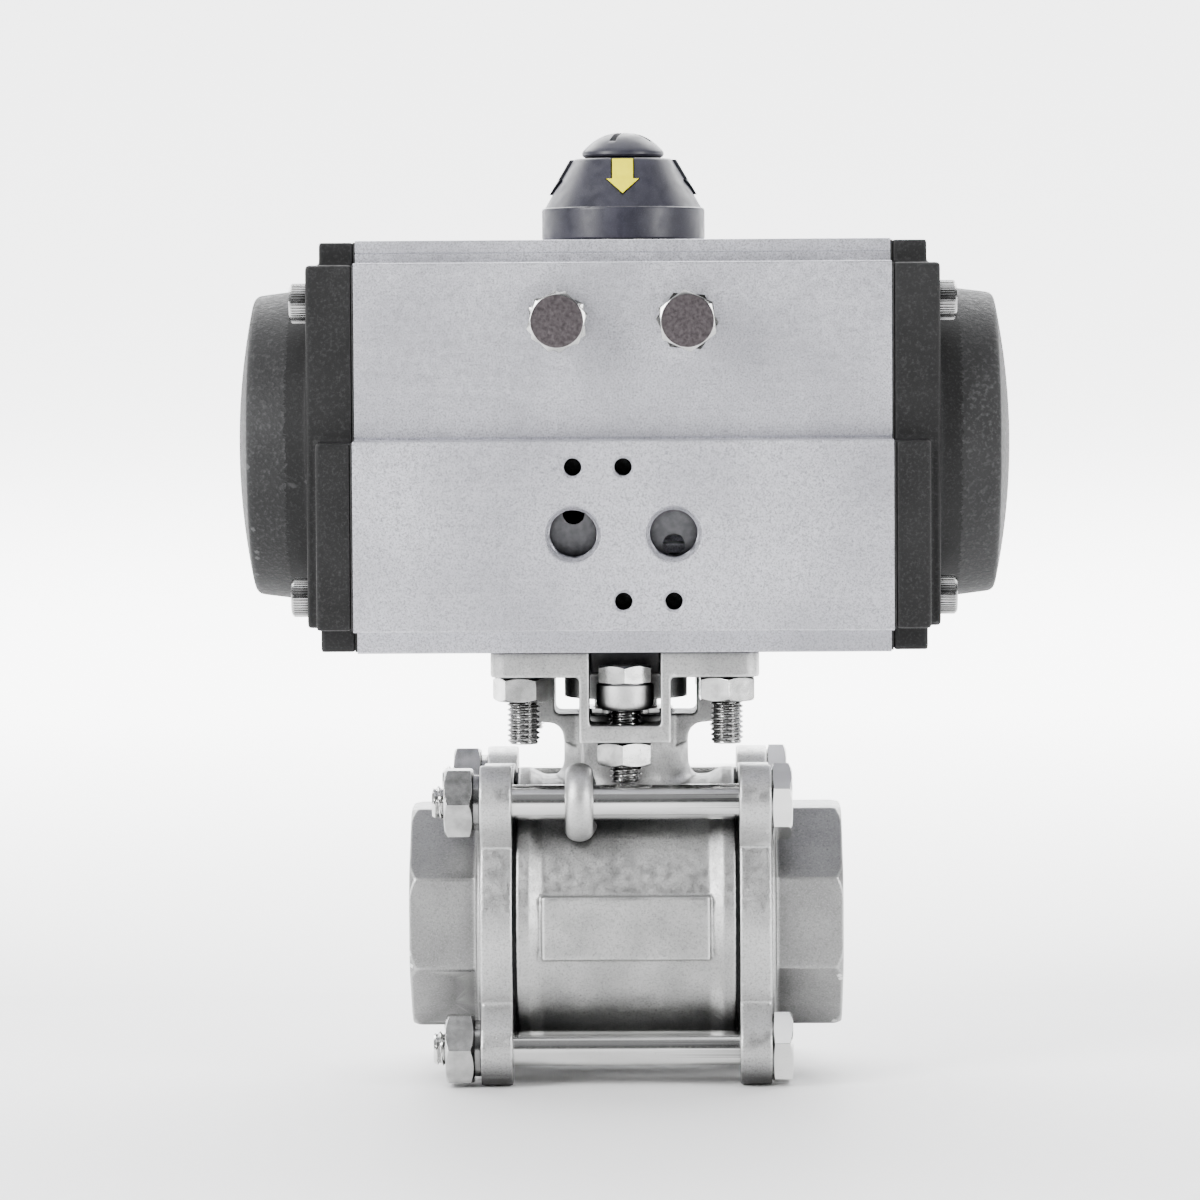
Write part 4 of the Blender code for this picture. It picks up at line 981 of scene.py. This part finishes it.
def make_casting():
    """Barrel with its rims and label pad, neck, arms, mounting pad and the hanging bridge, as cast."""
    rim = 36 * MM
    waist = 34.3 * MM
    end = BARREL_END
    profile = [(0, -end), (rim, -end), (rim, -23.6 * MM), (waist, -20.4 * MM), (waist, 20.4 * MM),
               (rim, 23.6 * MM), (rim, end), (0, end)]
    body = turned(profile, "X", AXIS, 192)
    front = STEM_Y - 35.7 * MM
    union(body, block((-20.4 * MM, front, PIPE_Z - 8.0 * MM),
                      (20.4 * MM, front + 6 * MM, PIPE_Z + 7.4 * MM)))
    union(body, neck_solid(waist))
    union(body, prism(saddle_outline(), STEM_Y - 9.5 * MM, STEM_Y + 9.5 * MM, "Y"))
    square = rounded([(-PAD_HALF, STEM_Y - PAD_HALF), (PAD_HALF, STEM_Y - PAD_HALF),
                      (PAD_HALF, STEM_Y + PAD_HALF), (-PAD_HALF, STEM_Y + PAD_HALF)], 4.5 * MM, 8)
    union(body, prism(square, PAD_LOW, PAD_HIGH))
    union(body, rod(15.2 * MM, PIPE_Z + 53.8 * MM, PAD_LOW + MM, "Z", STEM, 96))
    outer = 11.1 * MM
    inner = 8.7 * MM
    near = STEM_Y - PAD_HALF
    far = near + 15.6 * MM
    bottom = PIPE_Z + 44.5 * MM
    union(body, block((-outer, near, bottom), (outer, far, PAD_LOW + MM)))
    cut(body, block((-inner, near - MM, bottom + 4.2 * MM), (inner, far, PAD_HIGH + MM)))
    cut(body, rod(30 * MM, -end - MM, end + MM, "X", AXIS, 128))
    z = PIPE_Z
    cut(body, turned([(0, z + 20 * MM), (11.5 * MM, z + 20 * MM), (11.5 * MM, z + 34 * MM),
                      (8.3 * MM, z + 34 * MM), (8.3 * MM, z + 37 * MM), (12 * MM, z + 37 * MM),
                      (12 * MM, NECK_TOP + MM), (0, NECK_TOP + MM)], "Z", STEM, 64),
        rod(10.4 * MM, z + 52 * MM, PAD_HIGH + MM, "Z", STEM, 64))
    for place in STUD_PLACES:
        cut(body, rod(4.5 * MM, PAD_LOW - MM, PAD_HIGH + MM, "Z", place))
    cut(body, rod(4.3 * MM, bottom - MM, bottom + 6 * MM, "Z", LEVER))
    cast(body, 0.42 * MM, 4, 0.35)
    return show(body, "valve_casting", CAST, "housing", ["valve_body"], angle=0)


def make_eye():
    """Bent bar over the front upper tie bolt, both ends welded to the barrel."""
    place = TIE_PLACES[1]
    bm = bmesh.new()
    rings = []
    for i in range(33):
        angle = math.radians(28 + (300 - 28) * i / 32)
        reach = 7.1 * MM
        swell = 1 + 0.25 * max(0, abs(i - 16) / 16 - 0.8) * 5
        ring = []
        for u, v in circle(1, 24):
            distance = reach + 2.5 * MM * v
            ring.append(bm.verts.new((-11.2 * MM + 3.4 * MM * u * swell,
                                      place[0] + distance * math.cos(angle),
                                      place[1] + distance * math.sin(angle))))
        rings.append(ring)
    skin(bm, rings)
    return show(piece("eye", bm), "locking_eye", CAST, "housing", angle=50)


def make_end(where, side):
    """Cast end connection: flange with four lugs and the octagon that holds the pipe thread."""
    start, stop = FLANGE_IN, FLANGE_IN + 7.7 * MM
    low, high = span(side, start, stop)
    end = prism(circle(37 * MM, 192, AXIS), low, high, "X")
    for y, z in TIE_PLACES:
        turn = math.atan2(z - PIPE_Z, y - STEM_Y)
        along = Vector((math.cos(turn), math.sin(turn)))
        across = Vector((-along.y, along.x)) * 9 * MM
        root = Vector((y, z)) - along * 12 * MM
        lug = [tuple(root + across), tuple(root - across)]
        degrees = math.degrees(turn)
        lug += arc((y, z), 9 * MM, degrees - 90, degrees + 90, 24)
        union(end, prism(lug, low, high, "X"))
    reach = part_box("end_connection_right")[1].x
    low, high = span(side, stop - MM, stop + 1.1 * MM)
    union(end, prism(circle(31.5 * MM, 128, AXIS), low, high, "X"))
    low, high = span(side, stop - MM, reach)
    octagon = prism(across_flats(53.5 * MM, 8, AXIS), low, high, "X")
    crown = [(0, stop - MM), (29.4 * MM, stop - MM), (29.4 * MM, reach - 2.2 * MM), (27.6 * MM, reach),
             (0, reach)]
    overlap(octagon, turned_out(crown, side, AXIS))
    union(end, octagon)
    bore = [(0, start - MM), (19 * MM, start - MM), (19 * MM, reach - 22 * MM),
            (23.6 * MM, reach - 22 * MM), (23.6 * MM, reach - 1.6 * MM), (26.2 * MM, reach + MM),
            (0, reach + MM)]
    cut(end, turned_out(bore, side, AXIS))
    low, high = span(side, start - MM, stop + MM)
    for place in TIE_PLACES:
        cut(end, rod(4.6 * MM, low, high, "X", place))
    cast(end, 0.42 * MM, 4, 0.35)
    show(end, f"end_casting_{where}", END_CAST, "housing", [f"end_connection_{where}"],
         angle=0)
    low, high = span(side, reach - 21 * MM, reach - 1.2 * MM)
    thread = threaded(22.9 * MM, 1.1 * MM, 2.309 * MM, low, high, "X", AXIS, 24.3 * MM, 96)
    show(thread, f"socket_thread_{where}", BRIGHT, "housing")


def make_tie_bolts():
    """Four long bolts, heads on the right, nuts with spring washers on the left."""
    turns = (0.30, 0.10, 0.42, 0.18)
    nut_turns = (0.46, 0.50, 0.20, 0.35)
    for i, place in enumerate(TIE_PLACES):
        node = f"tie_bolt_{i + 1}"
        low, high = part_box(node)
        seat = high.x - 5.1 * MM
        bolt = hex_part(16.4 * MM, seat, high.x, "X", place, turns[i], washer=0.3 * MM)
        union(bolt, rod(4.3 * MM, -FLANGE_IN - 9 * MM, seat + 0.5 * MM, "X", place, 64))
        thread = threaded(4.22 * MM, 0.75 * MM, 1.5 * MM, low.x, -FLANGE_IN - 8.5 * MM, "X", place,
                          chamfer=(True, False))
        union(bolt, thread)
        fastener(bolt, node, 28, SHANK)
        node = f"tie_nut_{i + 1}"
        low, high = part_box(node)
        washer = high.x - 1.5 * MM
        nut = hex_part(16.2 * MM, low.x, washer - 0.05 * MM, "X", place, nut_turns[i], 4.35 * MM)
        fastener(nut, node, 28)
        spring = turned([(4.6 * MM, washer), (6.8 * MM, washer), (6.8 * MM, high.x), (4.6 * MM, high.x)],
                        "X", place, 48)
        split = block((washer - MM, place[0] - 0.5 * MM, place[1] + 3 * MM),
                      (high.x + MM, place[0] + 0.5 * MM, place[1] + 8 * MM))
        bevel(cut(spring, split), 0.2 * MM, 2, 40)
        show(spring, f"spring_washer_{i + 1}", BRIGHT, "housing")


def make_pad_fasteners():
    """Studs and nuts under the pad, and the lever stop bolt with its collar and nut in the bridge."""
    turns = (0.44, 0.10, 0.05, 0.50)
    for i, place in enumerate(STUD_PLACES):
        low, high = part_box(f"mount_stud_{i + 1}")
        stud = threaded(4 * MM, 0.70 * MM, 1.25 * MM, low.z, high.z, "Z", place)
        fastener(stud, f"mount_stud_{i + 1}", 35)
        low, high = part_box(f"mount_nut_{i + 1}")
        nut = hex_part(13 * MM, low.z, high.z, "Z", place, turns[i], 4.1 * MM)
        fastener(nut, f"mount_nut_{i + 1}")
    low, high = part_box("lever_stop_bolt")
    seat = high.z - 4.5 * MM
    bolt = hex_part(12.7 * MM, seat, high.z, "Z", LEVER, 0.0, washer=0.2 * MM)
    union(bolt, threaded(4 * MM, 0.70 * MM, 1.25 * MM, low.z, seat + 0.4 * MM, "Z", LEVER,
                         chamfer=(True, False)))
    fastener(bolt, "lever_stop_bolt")
    low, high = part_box("lever_stop_collar")
    profile = [(4.2 * MM, low.z), (4.9 * MM, low.z)]
    profile += arc((5.0 * MM, low.z + 2.0 * MM), 2.0 * MM, 270, 360, 6)
    profile += [(7.0 * MM, high.z - 0.3 * MM), (6.7 * MM, high.z), (4.2 * MM, high.z)]
    collar = turned(profile, "Z", LEVER, 64)
    show(collar, "fine_lever_stop_collar", CAST, "housing", ["lever_stop_collar"])
    low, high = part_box("lever_stop_nut")
    nut = hex_part(13 * MM, low.z, high.z, "Z", LEVER, -0.09, 4.1 * MM)
    fastener(nut, "lever_stop_nut")


def make_ball():
    """Polished ball with its bore across the pipe."""
    radius = 28.5 * MM
    profile = []
    for degrees in range(-90, 91, 3):
        angle = math.radians(degrees)
        reach = radius * math.cos(angle) if abs(degrees) < 90 else 0
        profile.append((reach, PIPE_Z + radius * math.sin(angle)))
    ball = turned(profile, "Z", STEM, 96)
    cut(ball, rod(19 * MM, STEM_Y - 30 * MM, STEM_Y + 30 * MM, "Y", (0, PIPE_Z), 96))
    cut(ball, block((-20 * MM, STEM_Y - 3 * MM, PIPE_Z + 23.2 * MM),
                    (20 * MM, STEM_Y + 3 * MM, PIPE_Z + 30 * MM)))
    bevel(ball, 0.4 * MM, 2, 40)
    return fastener(ball, "ball", 30, body="rotor")


def make_seats():
    """Seat rings on both sides of the ball."""
    for where, side in SIDES:
        end = FLANGE_IN - 0.1 * MM
        profile = [(19.2, 21.9), (23.7, 16.9), (24.2, 16.65), (29.2, 16.65), (29.6, 17.0), (29.6, end / MM),
                   (19.2, end / MM)]
        seat = turned_out([(r * MM, x * MM) for r, x in profile], side, AXIS, 96)
        show(seat, f"fine_seat_{where}", POLYMER, "housing", [f"seat_{where}"])


def finish_inner_parts():
    """Inner pieces keep their CAD shape and get a real finish."""
    paints = {
        "cap_seal_left": RUBBER, "cap_seal_right": RUBBER, "piston_seal_left": RUBBER,
        "piston_seal_right": RUBBER, "body_gasket_left": RUBBER, "body_gasket_right": RUBBER,
        "piston_left": ALUMINIUM, "piston_right": ALUMINIUM, "pinion": STEEL, "stop_cam": STEEL,
        "pinion_circlip": STEEL, "pinion_bush_top": POLYMER, "pinion_bush_bottom": POLYMER,
        "stem_packing": POLYMER, "packing_gland": BRIGHT, "stem": SHANK,
    }
    for node, paint in paints.items():
        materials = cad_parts[node].data.materials
        materials.clear()
        materials.append(paint)


# ---------------------------------------------------------------- light, floor and camera

BACK_LIGHT = 3.4
PANEL_LIGHT = 9.0
TOP_LIGHT = 2.7
FRONT_LIGHT = 0.36
DARK_BAND = 0.05
FLOOR_HALF = 12.0
FLOOR_GLOW = 3.5
GLOW_START = 0.15
GLOW_END = 1.2
SWEEP_START = 1.5
SWEEP_RISE = 0.0125


def area_light(name, place, target, size, power, colour=(1, 1, 1)):
    """Rectangular light at a place, turned towards a target."""
    data = bpy.data.lights.new(name, "AREA")
    data.shape = "RECTANGLE"
    data.size, data.size_y = size
    data.energy = power
    data.color = colour
    light = bpy.data.objects.new(name, data)
    bpy.context.scene.collection.objects.link(light)
    light.location = place
    light.rotation_euler = (Vector(target) - Vector(place)).to_track_quat("-Z", "Y").to_euler()


def make_world():
    """White studio: bright behind and above the object, grey in front with a dark band at camera height."""
    world = bpy.data.worlds.new("studio")
    bpy.context.scene.world = world
    world.use_nodes = True
    tree = world.node_tree
    background = tree.nodes["Background"]
    background.inputs["Color"].default_value = (0.97, 0.98, 1.0, 1)
    place = tree.nodes.new("ShaderNodeTexCoord")
    split = tree.nodes.new("ShaderNodeSeparateXYZ")
    tree.links.new(place.outputs["Generated"], split.inputs[0])

    def ramp(axis, start, end, low, high):
        """Strength that runs smoothly from low to high along one axis of the direction."""
        made = tree.nodes.new("ShaderNodeMapRange")
        made.interpolation_type = "SMOOTHSTEP"
        tree.links.new(split.outputs[axis], made.inputs["Value"])
        limits = {"From Min": start, "From Max": end, "To Min": low, "To Max": high}
        for name, value in limits.items():
            made.inputs[name].default_value = value
        return made.outputs[0]

    def join(operation, first, second):
        """Two strengths put together by one operation."""
        made = tree.nodes.new("ShaderNodeMath")
        made.operation = operation
        tree.links.new(first, made.inputs[0])
        tree.links.new(second, made.inputs[1])
        return made.outputs[0]

    back = join("MAXIMUM", ramp("Y", 0.35, 0.85, 0.10, BACK_LIGHT), ramp("Y", 0.85, 0.97, 0.0, PANEL_LIGHT))
    overhead = ramp("Z", 0.80, 0.98, 0.0, TOP_LIGHT)
    rising = ramp("Z", 0.08, 0.65, DARK_BAND, FRONT_LIGHT)
    front = join("MULTIPLY", rising, ramp("X", -0.5, 0.7, 1.25, 0.45))
    tree.links.new(join("MAXIMUM", join("MAXIMUM", back, overhead), front), background.inputs["Strength"])


def make_floor():
    """Pale floor that sweeps up gently far behind the object and beside it, so that no horizon shows; its far
    part glows as a backdrop light.
    """
    bm = bmesh.new()
    bmesh.ops.create_grid(bm, x_segments=64, y_segments=64, size=FLOOR_HALF)
    for vert in bm.verts:
        past = max(vert.co.y, abs(vert.co.x)) - SWEEP_START
        vert.co.z = SWEEP_RISE * max(0.0, past) ** 2
    floor = piece("floor", bm)
    floor.location = (0, 0, -0.1 * MM)
    paint = Paint("floor_paper", (0.90, 0.90, 0.90), 0.0, 0.6, Emission_Color=(1, 1, 1, 1))
    # The floor glows from nothing near the object to full strength behind it, a self-lit backdrop.
    place = paint.node("ShaderNodeTexCoord").outputs["Object"]
    behind = paint.node("ShaderNodeSeparateXYZ", {"Vector": place}).outputs["Y"]
    glow = paint.spread(behind, 0.0, FLOOR_GLOW, GLOW_START, GLOW_END)
    paint.tree.links.new(glow, paint.shader.inputs["Emission Strength"])
    paint.rough(paint.spread(paint.noise(4.0), 0.55, 0.7))
    floor.data.materials.append(paint.material)


def make_camera():
    """Long lens a little above the middle, square on to the ports."""
    data = bpy.data.cameras.new("camera")
    data.sensor_width = 36
    data.lens = 156.1
    camera = bpy.data.objects.new("camera", data)
    bpy.context.scene.collection.objects.link(camera)
    camera.location = (10 * MM, STEM_Y - 1.289, 182 * MM)
    target = Vector((-6.3 * MM, STEM_Y, 116.6 * MM))
    facing = (target - camera.location).to_track_quat("-Z", "Y")
    camera.rotation_euler = (facing @ Quaternion((0, 0, 1), math.radians(-0.33))).to_euler()
    bpy.context.scene.camera = camera


def main():
    """Builds every piece, then the surroundings."""
    make_body()
    make_port_thread("port_thread_left", -PORT_X)
    make_port_thread("port_thread_right", PORT_X)
    for where, side in SIDES:
        make_cap(where, side)
        for i, place in enumerate(SCREW_PLACES, 1):
            make_cap_screw(f"cap_screw_{where}_{i}", side, place)
        make_stop_bolt(where, side * STOP_X, -0.28 if side < 0 else 0.10)
        make_end(where, side)
    make_indicator()
    make_indicator_screw()
    make_casting()
    make_eye()
    make_tie_bolts()
    make_pad_fasteners()
    make_ball()
    make_seats()
    finish_inner_parts()
    make_world()
    make_floor()
    make_camera()
    target = (0, 0, 0.12)
    area_light("key", (-1.1, -0.9, 0.75), target, (0.6, 1.0), 36)
    area_light("fill", (1.2, -0.9, 0.5), target, (0.5, 1.0), 20)
    area_light("backdrop", (0, 1.8, 1.4), (0, 1.8, 0), (4.5, 2.4), 240)


main()
